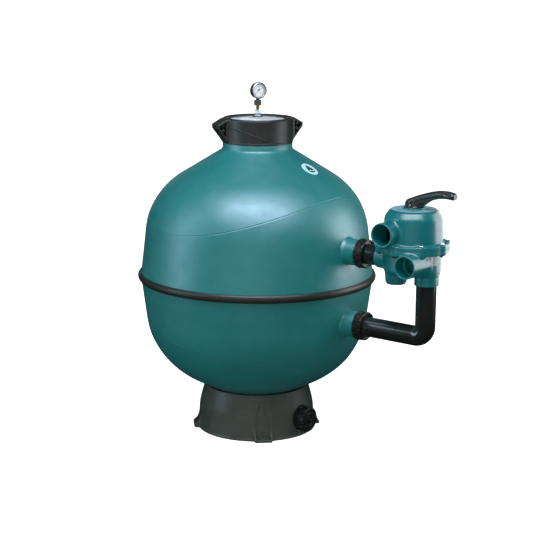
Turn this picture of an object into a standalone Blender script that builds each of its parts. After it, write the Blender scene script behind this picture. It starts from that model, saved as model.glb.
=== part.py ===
"""Side-mount sand filter tank for a pool, with its multiport valve, as separate solid parts.

Metres, +Z up. The origin is where the tank's axis meets the floor. The two tank ports, the pipes
and the multiport valve lie along +X, and the valve's pump and return ports open towards -Y.
"""

import math

import bmesh
import bpy
from mathutils import Matrix, Vector

# Gaps and facets
GAP = 0.0003
TANK_SIDES = 32
VALVE_SIDES = 24
PIPE_SIDES = 16
SMALL_SIDES = 10
TINY_SIDES = 6
ARC_STEP = math.radians(18)
SMALL_ARC_R = 0.020
BOLT_HOLE_R = 0.0045

# Tank: two moulded halves that meet at the belt, turned about the origin's vertical axis
BELT_Z = 0.521
WALL = 0.009
BELT_SHELL_R = 0.3830
BELT_LIP = 0.0128
BELT_OUTER_R = 0.394
BELT_HALF_HEIGHT = 0.0125
UPPER_SHOULDER = (0.3528, 0.2717, 0.245)
UPPER_SHOULDER_INSIDE = (0.3443, 0.2663, 0.236)
NECK_FOOT = (0.114, 0.4180, 0.012)
NECK_COLLAR_TOP = 0.4395
NECK_THREAD_R = 0.104
NECK_TOP = 0.4970
NECK_BORE_R = 0.090
LOWER_SHOULDER = (0.3469, -0.2766, 0.270)
LOWER_SHOULDER_INSIDE = (0.3386, -0.2707, 0.261)
CUP_R = 0.114
CUP_TOP = -0.3953
CUP_BOTTOM = -0.5050

# Tank ports and their unions, along +X
UPPER_PORT_Z = BELT_Z + 0.122
LOWER_PORT_Z = BELT_Z - 0.111
PORT_ROOT_X = 0.352
PORT_SHOULDER_X = 0.4137
PORT_END_X = 0.4265
PORT_R = 0.0415
PORT_THREAD_R = 0.0370
PORT_BORE_R = 0.0255
SEAL_X = (0.4268, 0.4292)
TAIL_FLANGE_X = (0.4295, 0.4330)
NUT_X = (0.4142, 0.4430)
NUT_R = 0.0465
NUT_RIBS = 14
PIPE_R = 0.0315
PIPE_BORE_R = 0.0265
STUB_END_X = 0.5050

# Base, drain outlet and cap
BASE_FOOT_R = 0.1955
BASE_WAIST = (0.1905, 0.085, 0.15)
BASE_TOP = (0.1720, 0.1545)
BASE_WALL = 0.0055
HUB_R = 0.034
HUB_HEIGHT = 0.0155
RIB_LIFT = 0.001
RIB_HALF_WIDTH = 0.002
RIB_TOP_Z = 0.112
LUG_ANGLES = [math.radians(45 + 90 * turn) for turn in range(4)]
LUG_TIP_R = 0.212
LUG_TIP_Z = 0.014
LUG_ROOT = (0.188, 0.040)
LUG_BURIED = 0.004
LUG_HALF_WIDTH = 0.029
LUG_CHANNEL_HALF_WIDTH = 0.023
LUG_PAD_Z = 0.010
LUG_BOLT_R = 0.2035
ARCH_HALF_WIDTH = 0.023
ARCH_TOP_Z = 0.135
ARCH_FOOT_X = 0.1930
ARCH_LEAN = math.radians(6.9)
DRAIN_Z = 0.057
DRAIN_SPOUT_R = 0.0330
DRAIN_BORE_R = 0.0285
DRAIN_SPOUT_END_X = 0.205
DRAIN_CAP_X = (0.187, 0.225)
DRAIN_CAP_R = 0.042
DRAIN_CAP_FLOOR_X = (0.2085, 0.2180)
DRAIN_PLUG_END_X = 0.2340

# Lid, lock ring and the fittings on the lid, heights above the belt
LID_FLANGE_R = 0.1030
LID_FLANGE_Z = (0.5010, 0.5068)
LID_DOME_R = 0.0905
LID_INSIDE_R = 0.0830
RING_R = 0.1145
RING_BORE_R = 0.1055
RING_RIM_R = 0.0920
RING_Z = (0.4400, 0.5200)
EAR_ANGLES = [math.radians(60), math.radians(240)]
EAR_HALF_WIDTH = 0.030
GAUGE_Z = BELT_Z + 0.606
GAUGE_FACING = math.radians(-23)
NEEDLE_ANGLE = math.radians(-45)

# Inside the tank
RISER_R = 0.0250
RISER_BORE_R = 0.0215
RISER_BEND = 0.060
DIFFUSER_Z = BELT_Z + 0.290
COLLECTOR_Z = BELT_Z - 0.290
LATERALS = 8
LATERAL_R = 0.0120
LATERAL_SIDES = 6
LATERAL_REACH = (0.036, 0.240)

# Lower L-shaped pipe and multiport valve, heights above the belt
VALVE_X = 0.605
DROP_X = 0.657
DROP_PIPE_TOP = 0.075
FLANGE_R = 0.1155
BODY_R = 0.0885
CAVITY_R = 0.0815
LEDGE_R = 0.0745
LEDGE_Z = 0.1500
BODY_FLANGE_Z = (0.1550, 0.1680)
COVER_FLANGE_Z = (0.1710, 0.1840)
COVER_TOP = 0.2830
PLATE_R = 0.0700
COVER_TOP_INSIDE = 0.2730
SOCKET_BORE_R = 0.0318
SIDE_SOCKET_X = 0.485
SIDE_SOCKET_R = 0.0360
DROP_SOCKET_R = 0.0380
DROP_SOCKET_Z = 0.054
PUMP_SOCKET_R = 0.0375
PUMP_PORT = (0.577, -0.135, 0.217)
RETURN_PORT = (0.657, -0.129, 0.128)
WASTE_PORT_X = 0.547
WASTE_BOSS_R = 0.0330
BOLTS = 8
BOLT_CIRCLE_R = 0.103
PORT_SIDE_BOLT = 6
STEM_R = 0.0085
HANDLE_PIN_Z = 0.2970
HANDLE_HUB_Z = 0.2862

# Parts whose many crossing walls and bores need the other Boolean solver
TANGLED_PARTS = ("tank_lower_half", "valve_body", "valve_cover")

MATERIALS = {
    "tank_teal": ((0.004, 0.120, 0.110), 0.42, 0.0),
    "valve_teal": ((0.002, 0.155, 0.185), 0.16, 0.0),
    "black_plastic": ((0.018, 0.021, 0.020), 0.38, 0.0),
    "black_pipe": ((0.010, 0.012, 0.011), 0.15, 0.0),
    "seal_rubber": ((0.015, 0.015, 0.015), 0.70, 0.0),
    "clear_plastic": ((0.750, 0.800, 0.810), 0.08, 0.0),
    "white_plastic": ((0.780, 0.790, 0.770), 0.35, 0.0),
    "brass": ((0.720, 0.500, 0.220), 0.25, 1.0),
    "steel": ((0.620, 0.630, 0.640), 0.22, 1.0),
    "dial_white": ((0.900, 0.900, 0.880), 0.45, 0.0),
}


def clear_scene():
    for obj in list(bpy.data.objects):
        bpy.data.objects.remove(obj, do_unlink=True)


def material(name):
    """The named Principled material, made the first time it is asked for."""
    found = bpy.data.materials.get(name)
    if found:
        return found
    colour, roughness, metallic = MATERIALS[name]
    made = bpy.data.materials.new(name)
    made.use_nodes = True
    shader = made.node_tree.nodes["Principled BSDF"]
    shader.inputs["Base Color"].default_value = (*colour, 1.0)
    shader.inputs["Roughness"].default_value = roughness
    shader.inputs["Metallic"].default_value = metallic
    made.diffuse_color = (*colour, 1.0)
    return made


def add_part(name, bm, finish, at=(0, 0, 0), turn=None):
    """A named object from bm, whose origin is at the given point."""
    bmesh.ops.recalc_face_normals(bm, faces=bm.faces)
    mesh = bpy.data.meshes.new(name)
    bm.to_mesh(mesh)
    bm.free()
    mesh.materials.append(material(finish))
    mesh.shade_smooth()
    mesh.set_sharp_from_angle(angle=math.radians(35))
    part = bpy.data.objects.new(name, mesh)
    part.location = at
    if turn is not None:
        part.rotation_euler = turn
    bpy.context.scene.collection.objects.link(part)
    return part


def add_tool(name, bm, at=(0, 0, 0)):
    """A hidden object that a Boolean uses."""
    tool = add_part(name, bm, "steel", at)
    tool.hide_render = True
    tool.display_type = "WIRE"
    return tool


def boolean(part, operation, *shapes):
    """Cuts each bmesh from the part, or joins it on, in the part's own coordinates."""
    for shape in shapes:
        modifier = part.modifiers.new(operation.lower(), "BOOLEAN")
        modifier.operation = operation
        modifier.solver = "MANIFOLD" if part.name in TANGLED_PARTS else "EXACT"
        tool_name = f"{part.name}_tool_{len(part.modifiers)}"
        modifier.object = add_tool(tool_name, shape, part.location)
    return part


def rounded(corners):
    """The closed outline through corners (x, y) or (x, y, radius), with the round ones as arcs."""
    points = []
    for index, corner in enumerate(corners):
        here = Vector(corner[:2])
        if len(corner) == 2:
            points.append(tuple(here))
            continue
        back = (Vector(corners[index - 1][:2]) - here).normalized()
        ahead = (Vector(corners[(index + 1) % len(corners)][:2]) - here).normalized()
        half = back.angle(ahead) / 2
        centre = here + (back + ahead).normalized() * corner[2] / math.sin(half)
        spoke = here + back * corner[2] / math.tan(half) - centre
        turn = math.copysign(math.pi - 2 * half, back.y * ahead.x - back.x * ahead.y)
        steps = 2
        if corner[2] > SMALL_ARC_R:
            steps = max(2, math.ceil(abs(turn) / ARC_STEP))
        for step in range(steps + 1):
            points.append(tuple(centre + Matrix.Rotation(turn * step / steps, 2) @ spoke))
    return points


def turned(corners, sides, lift=0.0, axis="Z"):
    """A body turned about an axis from a closed outline of (radius, height) corners."""
    bm = bmesh.new()
    rings = []
    for radius, height in rounded(corners):
        if radius < 1e-6:
            rings.append([bm.verts.new((0, 0, height + lift))])
            continue
        ring = []
        for side in range(sides):
            angle = 2 * math.pi * side / sides
            place = (radius * math.cos(angle), radius * math.sin(angle), height + lift)
            ring.append(bm.verts.new(place))
        rings.append(ring)
    bridge(bm, rings, closed=True)
    point_along(bm, axis)
    return bm


def bridge(bm, rings, closed):
    """Faces between each ring of vertices and the next, and back to the first when closed."""
    following = rings[1:] + rings[:1] if closed else rings[1:]
    for ring, after in zip(rings, following):
        sides = max(len(ring), len(after))
        if sides == 1:
            continue
        for side in range(sides):
            ahead = (side + 1) % sides
            loop = [ring[side % len(ring)], ring[ahead % len(ring)]]
            loop += [after[ahead % len(after)], after[side % len(after)]]
            bm.faces.new(list(dict.fromkeys(loop)))


def point_along(bm, axis):
    """Turns a body made along +Z to lie along +X, +Y or -Y."""
    turns = {
        "Z": Matrix.Identity(3),
        "X": Matrix.Rotation(math.pi / 2, 3, "Y"),
        "Y": Matrix.Rotation(-math.pi / 2, 3, "X"),
        "-Y": Matrix.Rotation(math.pi / 2, 3, "X"),
    }
    bmesh.ops.rotate(bm, matrix=turns[axis], verts=bm.verts)


def cylinder(radius, low, high, sides=PIPE_SIDES, axis="Z", at=(0, 0, 0)):
    bm = turned([(0, low), (radius, low), (radius, high), (0, high)], sides, axis=axis)
    bmesh.ops.translate(bm, vec=at, verts=bm.verts)
    return bm


def tube(outer, inner, low, high, sides=PIPE_SIDES, axis="Z"):
    return turned([(outer, low), (outer, high), (inner, high), (inner, low)], sides, axis=axis)


def extruded(corners, low, high, turn=0.0):
    """A prism of an (x, y) outline, from one height to another, turned about Z."""
    bm = bmesh.new()
    outline = rounded(corners)
    rings = []
    for height in (low, high):
        rings.append([bm.verts.new((x, y, height)) for x, y in outline])
    bridge(bm, rings, closed=False)
    for ring in rings:
        bm.faces.new(ring)
    bmesh.ops.rotate(bm, matrix=Matrix.Rotation(turn, 3, "Z"), verts=bm.verts)
    return bm


def upright(corners, half_width, turn=0.0):
    """A prism of an (x, z) outline that is half_width thick each way along Y, turned about Z."""
    bm = extruded(corners, -half_width, half_width)
    bmesh.ops.rotate(bm, matrix=Matrix.Rotation(math.pi / 2, 3, "X"), verts=bm.verts)
    bmesh.ops.rotate(bm, matrix=Matrix.Rotation(turn, 3, "Z"), verts=bm.verts)
    return bm


def box(x, y, z, turn=0.0):
    """A box between the pairs of limits, turned about Z."""
    corners = [(x[0], y[0]), (x[1], y[0]), (x[1], y[1]), (x[0], y[1])]
    return extruded(corners, z[0], z[1], turn)


def bent_pipe(corners, outer, inner, sides=PIPE_SIDES):
    """A hollow pipe in the XZ plane along a route of (x, z) or (x, z, bend radius) corners."""
    route = [Vector((x, 0, z)) for x, z in rounded(corners)]
    bm = bmesh.new()
    rings = {outer: [], inner: []}
    for index, point in enumerate(route):
        behind = (point - route[max(index - 1, 0)]).normalized()
        ahead = (route[min(index + 1, len(route) - 1)] - point).normalized()
        along = (behind + ahead).normalized()
        across = along.cross(Vector((0, 1, 0)))
        for radius, made in rings.items():
            ring = []
            for side in range(sides):
                angle = 2 * math.pi * side / sides
                place = point + across * radius * math.cos(angle)
                place.y += radius * math.sin(angle)
                ring.append(bm.verts.new(place))
            made.append(ring)
    bridge(bm, rings[outer] + rings[inner][::-1], closed=True)
    return bm


def ribbed_tube(outline, ribs, depth, axis="Z"):
    """A turned body whose outer rings, the first two of the outline, carry grip ribs."""
    sides = 3 * ribs
    bm = turned(outline, sides)
    widest = max(radius for radius, _ in outline)
    for vertex in bm.verts:
        radius = vertex.co.xy.length
        side = round(math.atan2(vertex.co.y, vertex.co.x) / (2 * math.pi) * sides) % sides
        if abs(radius - widest) < 1e-5 and side % 3 == 2:
            vertex.co.xy *= (radius - depth) / radius
    point_along(bm, axis)
    return bm


# ---------------------------------------------------------------- tank shells and belt

def port_shape():
    """A port's boss, its threaded nose and its shoulder, along +X."""
    corners = [(0, PORT_ROOT_X), (PORT_R, PORT_ROOT_X), (PORT_R, PORT_SHOULDER_X)]
    corners += [(PORT_THREAD_R, PORT_SHOULDER_X), (PORT_THREAD_R, PORT_END_X), (0, PORT_END_X)]
    return turned(corners, PIPE_SIDES, axis="X")


def port_bore():
    return cylinder(PORT_BORE_R, PORT_ROOT_X - 0.03, PORT_END_X + 0.01, axis="X")


def moved(bm, z):
    bmesh.ops.translate(bm, vec=(0, 0, z), verts=bm.verts)
    return bm


def make_tank():
    upper = [(BELT_SHELL_R, GAP / 2), (BELT_SHELL_R, BELT_LIP), UPPER_SHOULDER, NECK_FOOT]
    upper += [(NECK_FOOT[0], NECK_COLLAR_TOP), (NECK_THREAD_R, NECK_COLLAR_TOP)]
    upper += [(NECK_THREAD_R, NECK_TOP), (NECK_BORE_R, NECK_TOP), (NECK_BORE_R, 0.4221)]
    upper += [UPPER_SHOULDER_INSIDE, (BELT_SHELL_R - WALL, GAP / 2)]
    part = add_part("tank_upper_half", turned(upper, TANK_SIDES), "tank_teal", (0, 0, BELT_Z))
    boolean(part, "UNION", moved(port_shape(), UPPER_PORT_Z - BELT_Z))
    boolean(part, "DIFFERENCE", moved(port_bore(), UPPER_PORT_Z - BELT_Z))

    lower = [(0, CUP_BOTTOM), (CUP_R, CUP_BOTTOM, 0.010), (CUP_R, CUP_TOP), LOWER_SHOULDER]
    lower += [(BELT_SHELL_R, -BELT_LIP), (BELT_SHELL_R, -GAP / 2), (BELT_SHELL_R - WALL, -GAP / 2)]
    lower += [LOWER_SHOULDER_INSIDE, (CUP_R - WALL, -0.3898), (CUP_R - WALL, CUP_BOTTOM + WALL)]
    lower += [(0, CUP_BOTTOM + WALL)]
    part = add_part("tank_lower_half", turned(lower, TANK_SIDES), "tank_teal", (0, 0, BELT_Z))
    spout = cylinder(DRAIN_SPOUT_R, CUP_R - 0.006, DRAIN_SPOUT_END_X, axis="X")
    drain = cylinder(DRAIN_BORE_R, CUP_R - 0.03, DRAIN_SPOUT_END_X + 0.01, axis="X")
    boolean(part, "UNION", moved(port_shape(), LOWER_PORT_Z - BELT_Z))
    boolean(part, "UNION", moved(spout, DRAIN_Z - BELT_Z))
    boolean(part, "DIFFERENCE", moved(port_bore(), LOWER_PORT_Z - BELT_Z))
    boolean(part, "DIFFERENCE", moved(drain, DRAIN_Z - BELT_Z))

    inner = BELT_SHELL_R + 0.0004
    band = [(inner, -BELT_HALF_HEIGHT), (0.3895, -BELT_HALF_HEIGHT), (BELT_OUTER_R, -0.006)]
    band += [(BELT_OUTER_R, 0.006), (0.3895, BELT_HALF_HEIGHT), (inner, BELT_HALF_HEIGHT)]
    add_part("belt_band", turned(band, TANK_SIDES), "black_plastic", (0, 0, BELT_Z))


# ---------------------------------------------------------------- base and drain

def arch_shape(turn):
    """The shallow arch sunk into the skirt above a lug, leaning back with the skirt."""
    outline = []
    for step in range(9):
        across = step / 4 - 1
        outline.append((ARCH_TOP_Z * (1 - across**2), ARCH_HALF_WIDTH * across))
    bm = extruded(outline, 0, 0.03)
    bmesh.ops.rotate(bm, matrix=Matrix.Rotation(-math.pi / 2, 3, "Y"), verts=bm.verts)
    bmesh.ops.rotate(bm, matrix=Matrix.Rotation(math.pi, 3, "Z"), verts=bm.verts)
    bmesh.ops.rotate(bm, matrix=Matrix.Rotation(-ARCH_LEAN, 3, "Y"), verts=bm.verts)
    bmesh.ops.translate(bm, vec=(ARCH_FOOT_X, 0, LUG_PAD_Z), verts=bm.verts)
    bmesh.ops.rotate(bm, matrix=Matrix.Rotation(turn, 3, "Z"), verts=bm.verts)
    return bm


def make_base():
    inner_foot = (BASE_FOOT_R - BASE_WALL, 0)
    inner_waist = (BASE_WAIST[0] - BASE_WALL, BASE_WAIST[1], BASE_WAIST[2])
    inner_top = (BASE_TOP[0] - BASE_WALL, BASE_TOP[1] - 0.003)
    skirt = [(BASE_FOOT_R, 0), BASE_WAIST, BASE_TOP, inner_top, inner_waist, inner_foot]
    base = add_part("base", turned(skirt, TANK_SIDES), "black_plastic")
    rib = [(BASE_FOOT_R - 0.003, RIB_LIFT), (0.1870, RIB_TOP_Z), (CUP_R + 0.001, RIB_TOP_Z)]
    rib += [(CUP_R + 0.001, HUB_HEIGHT - RIB_LIFT)]
    rib += [(-x, z) for x, z in reversed(rib)]
    for turn in LUG_ANGLES[:2]:
        boolean(base, "UNION", upright(rib, RIB_HALF_WIDTH, turn))
    boolean(base, "UNION", cylinder(HUB_R, 0, HUB_HEIGHT))
    wedge = [(LUG_ROOT[0] - LUG_BURIED, 0), (LUG_TIP_R, 0), (LUG_TIP_R, LUG_TIP_Z), LUG_ROOT]
    wedge += [(LUG_ROOT[0] - LUG_BURIED, LUG_ROOT[1])]
    for turn in LUG_ANGLES:
        boolean(base, "UNION", upright(wedge, LUG_HALF_WIDTH, turn))
        half = LUG_CHANNEL_HALF_WIDTH
        channel = box((ARCH_FOOT_X, 0.25), (-half, half), (LUG_PAD_Z, 0.07), turn)
        place = (LUG_BOLT_R * math.cos(turn), LUG_BOLT_R * math.sin(turn), 0)
        hole = cylinder(BOLT_HOLE_R, -0.01, LUG_PAD_Z + 0.01, TINY_SIDES, at=place)
        boolean(base, "DIFFERENCE", arch_shape(turn), channel, hole)
    gate = cylinder(DRAIN_CAP_R + 0.002, 0.16, 0.22, axis="X", at=(0, 0, DRAIN_Z))
    boolean(base, "DIFFERENCE", gate)


def make_drain():
    inner = DRAIN_SPOUT_R + 0.0015
    near, far = DRAIN_CAP_X
    floor, face = DRAIN_CAP_FLOOR_X
    cap = [(DRAIN_CAP_R, near), (DRAIN_CAP_R, far), (0.034, far), (0.034, face), (0.0090, face)]
    cap += [(0.0090, floor), (inner, floor), (inner, near)]
    add_part("drain_cap", ribbed_tube(cap, 12, 0.0035, "X"), "black_plastic", (0, 0, DRAIN_Z))
    seal = tube(DRAIN_SPOUT_R, DRAIN_BORE_R, 0.2053, 0.2081, axis="X")
    add_part("drain_seal", seal, "seal_rubber", (0, 0, DRAIN_Z))
    seat = face + 0.0004
    plug = [(0, 0.2100), (0.0080, 0.2100), (0.0080, seat), (0.0130, seat), (0.0130, 0.2230)]
    plug += [(0.0100, 0.2230), (0.0100, DRAIN_PLUG_END_X), (0, DRAIN_PLUG_END_X)]
    add_part("drain_plug", turned(plug, SMALL_SIDES, axis="X"), "black_plastic", (0, 0, DRAIN_Z))
    outer = DRAIN_BORE_R - 0.0008
    strainer = [(0, 0.040), (outer, 0.040), (outer, 0.190), (outer - 0.003, 0.190)]
    strainer += [(outer - 0.003, 0.043), (0, 0.043)]
    body = turned(strainer, SMALL_SIDES, axis="X")
    add_part("drain_strainer", body, "white_plastic", (0, 0, DRAIN_Z))


# ---------------------------------------------------------------- lid and lock ring

def make_closure():
    top = (0, 0, BELT_Z)
    seal = tube(0.0995, 0.0945, NECK_TOP + GAP, LID_FLANGE_Z[0] - GAP, VALVE_SIDES)
    add_part("lid_o_ring", seal, "seal_rubber", top)
    lid = [(LID_FLANGE_R, LID_FLANGE_Z[0]), (LID_FLANGE_R, LID_FLANGE_Z[1])]
    lid += [(LID_DOME_R, LID_FLANGE_Z[1]), (0.0885, 0.5135, 0.004), (0.0105, 0.5205)]
    lid += [(0.0045, 0.5300), (0.0033, 0.5300), (0.0033, 0.5140), (0.0500, 0.5125)]
    lid += [(LID_INSIDE_R, 0.5080, 0.006), (LID_INSIDE_R, LID_FLANGE_Z[0])]
    add_part("lid", turned(lid, VALVE_SIDES), "clear_plastic", top)

    low, high = RING_Z
    ring = [(RING_R, low), (RING_R, high, 0.005), (RING_RIM_R, high, 0.003)]
    ring += [(RING_RIM_R, LID_FLANGE_Z[1] + 0.0004), (RING_BORE_R, LID_FLANGE_Z[1] + 0.0004)]
    ring += [(RING_BORE_R, low)]
    part = add_part("lock_ring", turned(ring, TANK_SIDES), "black_plastic", top)
    ear = [(0.1080, 0.5190), (0.1180, 0.5180), (0.1490, 0.5000, 0.004), (0.1480, 0.4880, 0.004)]
    ear += [(0.1130, 0.4470), (0.1080, 0.4470)]
    pocket = [(0.1200, 0.5090), (0.1430, 0.4970), (0.1425, 0.4900), (0.1200, 0.4640)]
    for turn in EAR_ANGLES:
        boolean(part, "UNION", upright(ear, EAR_HALF_WIDTH, turn))
        for side in (-1, 1):
            hollow = upright(pocket, 0.016)
            bmesh.ops.translate(hollow, vec=(0, side * 0.019, 0), verts=hollow.verts)
            bmesh.ops.rotate(hollow, matrix=Matrix.Rotation(turn, 3, "Z"), verts=hollow.verts)
            boolean(part, "DIFFERENCE", hollow)


def make_bleed_and_gauge():
    top = (0, 0, BELT_Z)
    hub = tube(0.0085, 0.0034, 0.5304, 0.5436, SMALL_SIDES)
    wing = add_part("bleed_wing", hub, "clear_plastic", top)
    for side in (-1, 1):
        inner, outer = sorted((side * 0.0070, side * 0.0125))
        boolean(wing, "UNION", box((inner, outer), (-0.002, 0.002), (0.5320, 0.5430)))

    stem = [(0, 0.5100), (0.0025, 0.5100), (0.0025, 0.5440), (0.0065, 0.5440), (0.0065, 0.5580)]
    stem += [(0.0040, 0.5580), (0.0040, 0.5655), (0, 0.5655)]
    add_part("gauge_stem", turned(stem, SMALL_SIDES), "brass", top)
    nut = [(0.0125, 0.5583), (0.0125, 0.5750), (0.0045, 0.5750), (0.0045, 0.5583)]
    add_part("gauge_nut", ribbed_tube(nut, 8, 0.0012), "black_plastic", top)

    face = Matrix.Rotation(math.pi / 2, 3, "Y")
    aim = (0, 0, GAUGE_FACING)
    centre = (0, 0, GAUGE_Z)

    def along_gauge(name, bm, finish):
        bmesh.ops.rotate(bm, matrix=face, verts=bm.verts)
        return add_part(name, bm, finish, centre, aim)

    case = [(0, -0.0085), (0.0255, -0.0085, 0.003), (0.0255, 0.0105), (0.0235, 0.0105)]
    case += [(0.0235, -0.0060), (0, -0.0060)]
    part = along_gauge("gauge_case", turned(case, VALVE_SIDES), "black_plastic")
    boolean(part, "UNION", cylinder(0.0040, -0.0400, -0.0250, SMALL_SIDES))
    bezel = [(0.0267, 0.0060), (0.0267, 0.0125), (0.0255, 0.0135), (0.0225, 0.0135)]
    bezel += [(0.0225, 0.0108), (0.0258, 0.0108), (0.0258, 0.0060)]
    along_gauge("gauge_bezel", turned(bezel, VALVE_SIDES), "steel")
    along_gauge("gauge_window", cylinder(0.0231, 0.0080, 0.0100, VALVE_SIDES), "clear_plastic")
    along_gauge("gauge_dial", cylinder(0.0231, 0.0030, 0.0040, VALVE_SIDES), "dial_white")
    pointer = [(-0.0060, -0.0012), (0.0180, -0.0004), (0.0180, 0.0004), (-0.0060, 0.0012)]
    needle = extruded(pointer, 0.0052, 0.0060, NEEDLE_ANGLE)
    part = along_gauge("gauge_needle", needle, "black_plastic")
    boss = cylinder(0.0020, 0.0044, 0.0070, 8)
    bmesh.ops.rotate(boss, matrix=face, verts=boss.verts)
    bmesh.ops.rotate(boss, matrix=Matrix.Rotation(GAUGE_FACING, 3, "Z"), verts=boss.verts)
    boolean(part, "UNION", boss)


# ---------------------------------------------------------------- water ways inside the tank

def make_inside():
    entry = PORT_END_X - 0.030
    riser = [(entry, UPPER_PORT_Z), (0, UPPER_PORT_Z, RISER_BEND), (0, DIFFUSER_Z + 0.030)]
    add_part("inlet_pipe", bent_pipe(riser, RISER_R, RISER_BORE_R, SMALL_SIDES), "white_plastic")
    basket = [(0.045, 0), (0.045, 0.080, 0.010), (0, 0.080), (0, 0.076), (0.041, 0.076)]
    basket += [(0.041, 0.005), (RISER_R + 0.001, 0.005), (RISER_R + 0.001, 0)]
    diffuser = turned(basket, 16, DIFFUSER_Z)
    part = add_part("diffuser", diffuser, "white_plastic")
    for slot in range(3):
        window = box((-0.06, 0.06), (-0.007, 0.007), (0.040, 0.068), math.radians(60 * slot))
        boolean(part, "DIFFERENCE", moved(window, DIFFUSER_Z))

    drop = [(entry, LOWER_PORT_Z), (0, LOWER_PORT_Z, RISER_BEND), (0, COLLECTOR_Z + 0.018)]
    add_part("outlet_pipe", bent_pipe(drop, RISER_R, RISER_BORE_R, SMALL_SIDES), "white_plastic")
    hub = [(RISER_R + 0.001, 0.032), (0.045, 0.032), (0.045, -0.024), (0, -0.024), (0, -0.019)]
    hub += [(0.040, -0.019), (0.040, 0.016), (RISER_R + 0.001, 0.016)]
    part = add_part("collector_hub", turned(hub, 16), "white_plastic", (0, 0, COLLECTOR_Z))
    near, far = LATERAL_REACH
    shape = [(0, far), (0, far - 0.003), (LATERAL_R - 0.0025, far - 0.003)]
    shape += [(LATERAL_R - 0.0025, near), (LATERAL_R, near), (LATERAL_R, far)]
    for index in range(LATERALS):
        turn = 2 * math.pi * index / LATERALS
        socket = cylinder(LATERAL_R + 0.0008, 0.030, 0.060, LATERAL_SIDES, axis="X")
        bmesh.ops.rotate(socket, matrix=Matrix.Rotation(turn, 3, "Z"), verts=socket.verts)
        boolean(part, "DIFFERENCE", socket)
        lateral = turned(shape, LATERAL_SIDES, axis="X")
        name = f"lateral_{index + 1}"
        add_part(name, lateral, "white_plastic", (0, 0, COLLECTOR_Z), (0, 0, turn))


# ---------------------------------------------------------------- unions and outside pipes

def make_union(prefix, height):
    seal = tube(PORT_THREAD_R - 0.001, PORT_BORE_R + 0.002, *SEAL_X, axis="X")
    add_part(f"{prefix}_union_seal", seal, "seal_rubber", (0, 0, height))
    near, far = NUT_X
    bore = PORT_THREAD_R + 0.0015
    lip = TAIL_FLANGE_X[1] + GAP
    nut = [(NUT_R, near), (NUT_R, far), (PIPE_R + 0.0015, far), (PIPE_R + 0.0015, lip)]
    nut += [(bore, lip), (bore, near)]
    body = ribbed_tube(nut, NUT_RIBS, 0.0030, "X")
    add_part(f"{prefix}_union_nut", body, "black_plastic", (0, 0, height))


def make_pipes():
    make_union("upper", UPPER_PORT_Z)
    make_union("lower", LOWER_PORT_Z)
    near, far = TAIL_FLANGE_X
    flange_r = PORT_THREAD_R - 0.0005
    stub = [(flange_r, near), (flange_r, far), (PIPE_R, far), (PIPE_R, STUB_END_X)]
    stub += [(PIPE_BORE_R, STUB_END_X), (PIPE_BORE_R, near)]
    body = turned(stub, PIPE_SIDES, axis="X")
    add_part("upper_stub_pipe", body, "black_pipe", (0, 0, UPPER_PORT_Z))

    route = [(near, LOWER_PORT_Z), (DROP_X, LOWER_PORT_Z, PIPE_R + 0.003)]
    route += [(DROP_X, BELT_Z + DROP_PIPE_TOP)]
    pipe = add_part("lower_pipe", bent_pipe(route, PIPE_R, PIPE_BORE_R), "black_pipe")
    collar = tube(flange_r, PIPE_R - 0.002, near, far, axis="X")
    boolean(pipe, "UNION", moved(collar, LOWER_PORT_Z))


# ---------------------------------------------------------------- multiport valve

def make_valve_body():
    low, high = BODY_FLANGE_Z
    centre = (VALVE_X, 0, BELT_Z)
    shape = [(0, 0.088), (BODY_R, 0.088, 0.012), (BODY_R, low), (FLANGE_R, low), (FLANGE_R, high)]
    shape += [(0, high)]
    part = add_part("valve_body", turned(shape, VALVE_SIDES), "valve_teal", centre)
    drop = DROP_X - VALVE_X
    waste = WASTE_PORT_X - VALVE_X
    side = (0, 0, UPPER_PORT_Z - BELT_Z)
    return_x = RETURN_PORT[0] - VALVE_X
    return_at = (return_x, 0, RETURN_PORT[2])
    boolean(
        part, "UNION",
        cylinder(SIDE_SOCKET_R, SIDE_SOCKET_X - VALVE_X, -0.04, axis="X", at=side),
        cylinder(SIDE_SOCKET_R, 0.04, -RETURN_PORT[1], axis="-Y", at=return_at),
        cylinder(DROP_SOCKET_R, DROP_SOCKET_Z, 0.105, at=(drop, 0, 0)),
        cylinder(WASTE_BOSS_R, 0.048, 0.105, at=(waste, 0, 0)),
    )
    cavity = [(0, 0.0965), (LEDGE_R, 0.0965), (LEDGE_R, LEDGE_Z), (CAVITY_R, LEDGE_Z)]
    cavity += [(CAVITY_R, 0.18), (0, 0.18)]
    boolean(
        part, "DIFFERENCE",
        turned(cavity, VALVE_SIDES),
        cylinder(SOCKET_BORE_R, 0.47 - VALVE_X, STUB_END_X + 0.0005 - VALVE_X, axis="X", at=side),
        cylinder(0.0215, 0.50 - VALVE_X, -0.05, axis="X", at=side),
        cylinder(SOCKET_BORE_R, 0.085, 0.14, axis="-Y", at=return_at),
        cylinder(0.0265, 0.045, 0.14, axis="-Y", at=return_at),
        cylinder(SOCKET_BORE_R, 0.04, DROP_PIPE_TOP + 0.0005, at=(drop, 0, 0)),
        cylinder(0.0230, 0.06, 0.12, at=(drop, 0, 0)),
        cylinder(0.0225, 0.04, 0.12, at=(waste, 0, 0)),
    )
    for bolt in range(BOLTS):
        boolean(part, "DIFFERENCE", bolt_hole(bolt, low + 0.002, high + 0.01))


def bolt_place(index):
    angle = 2 * math.pi * index / BOLTS
    return (BOLT_CIRCLE_R * math.cos(angle), BOLT_CIRCLE_R * math.sin(angle), 0)


def bolt_hole(index, low, high):
    return cylinder(BOLT_HOLE_R, low, high, TINY_SIDES, at=bolt_place(index))


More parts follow.
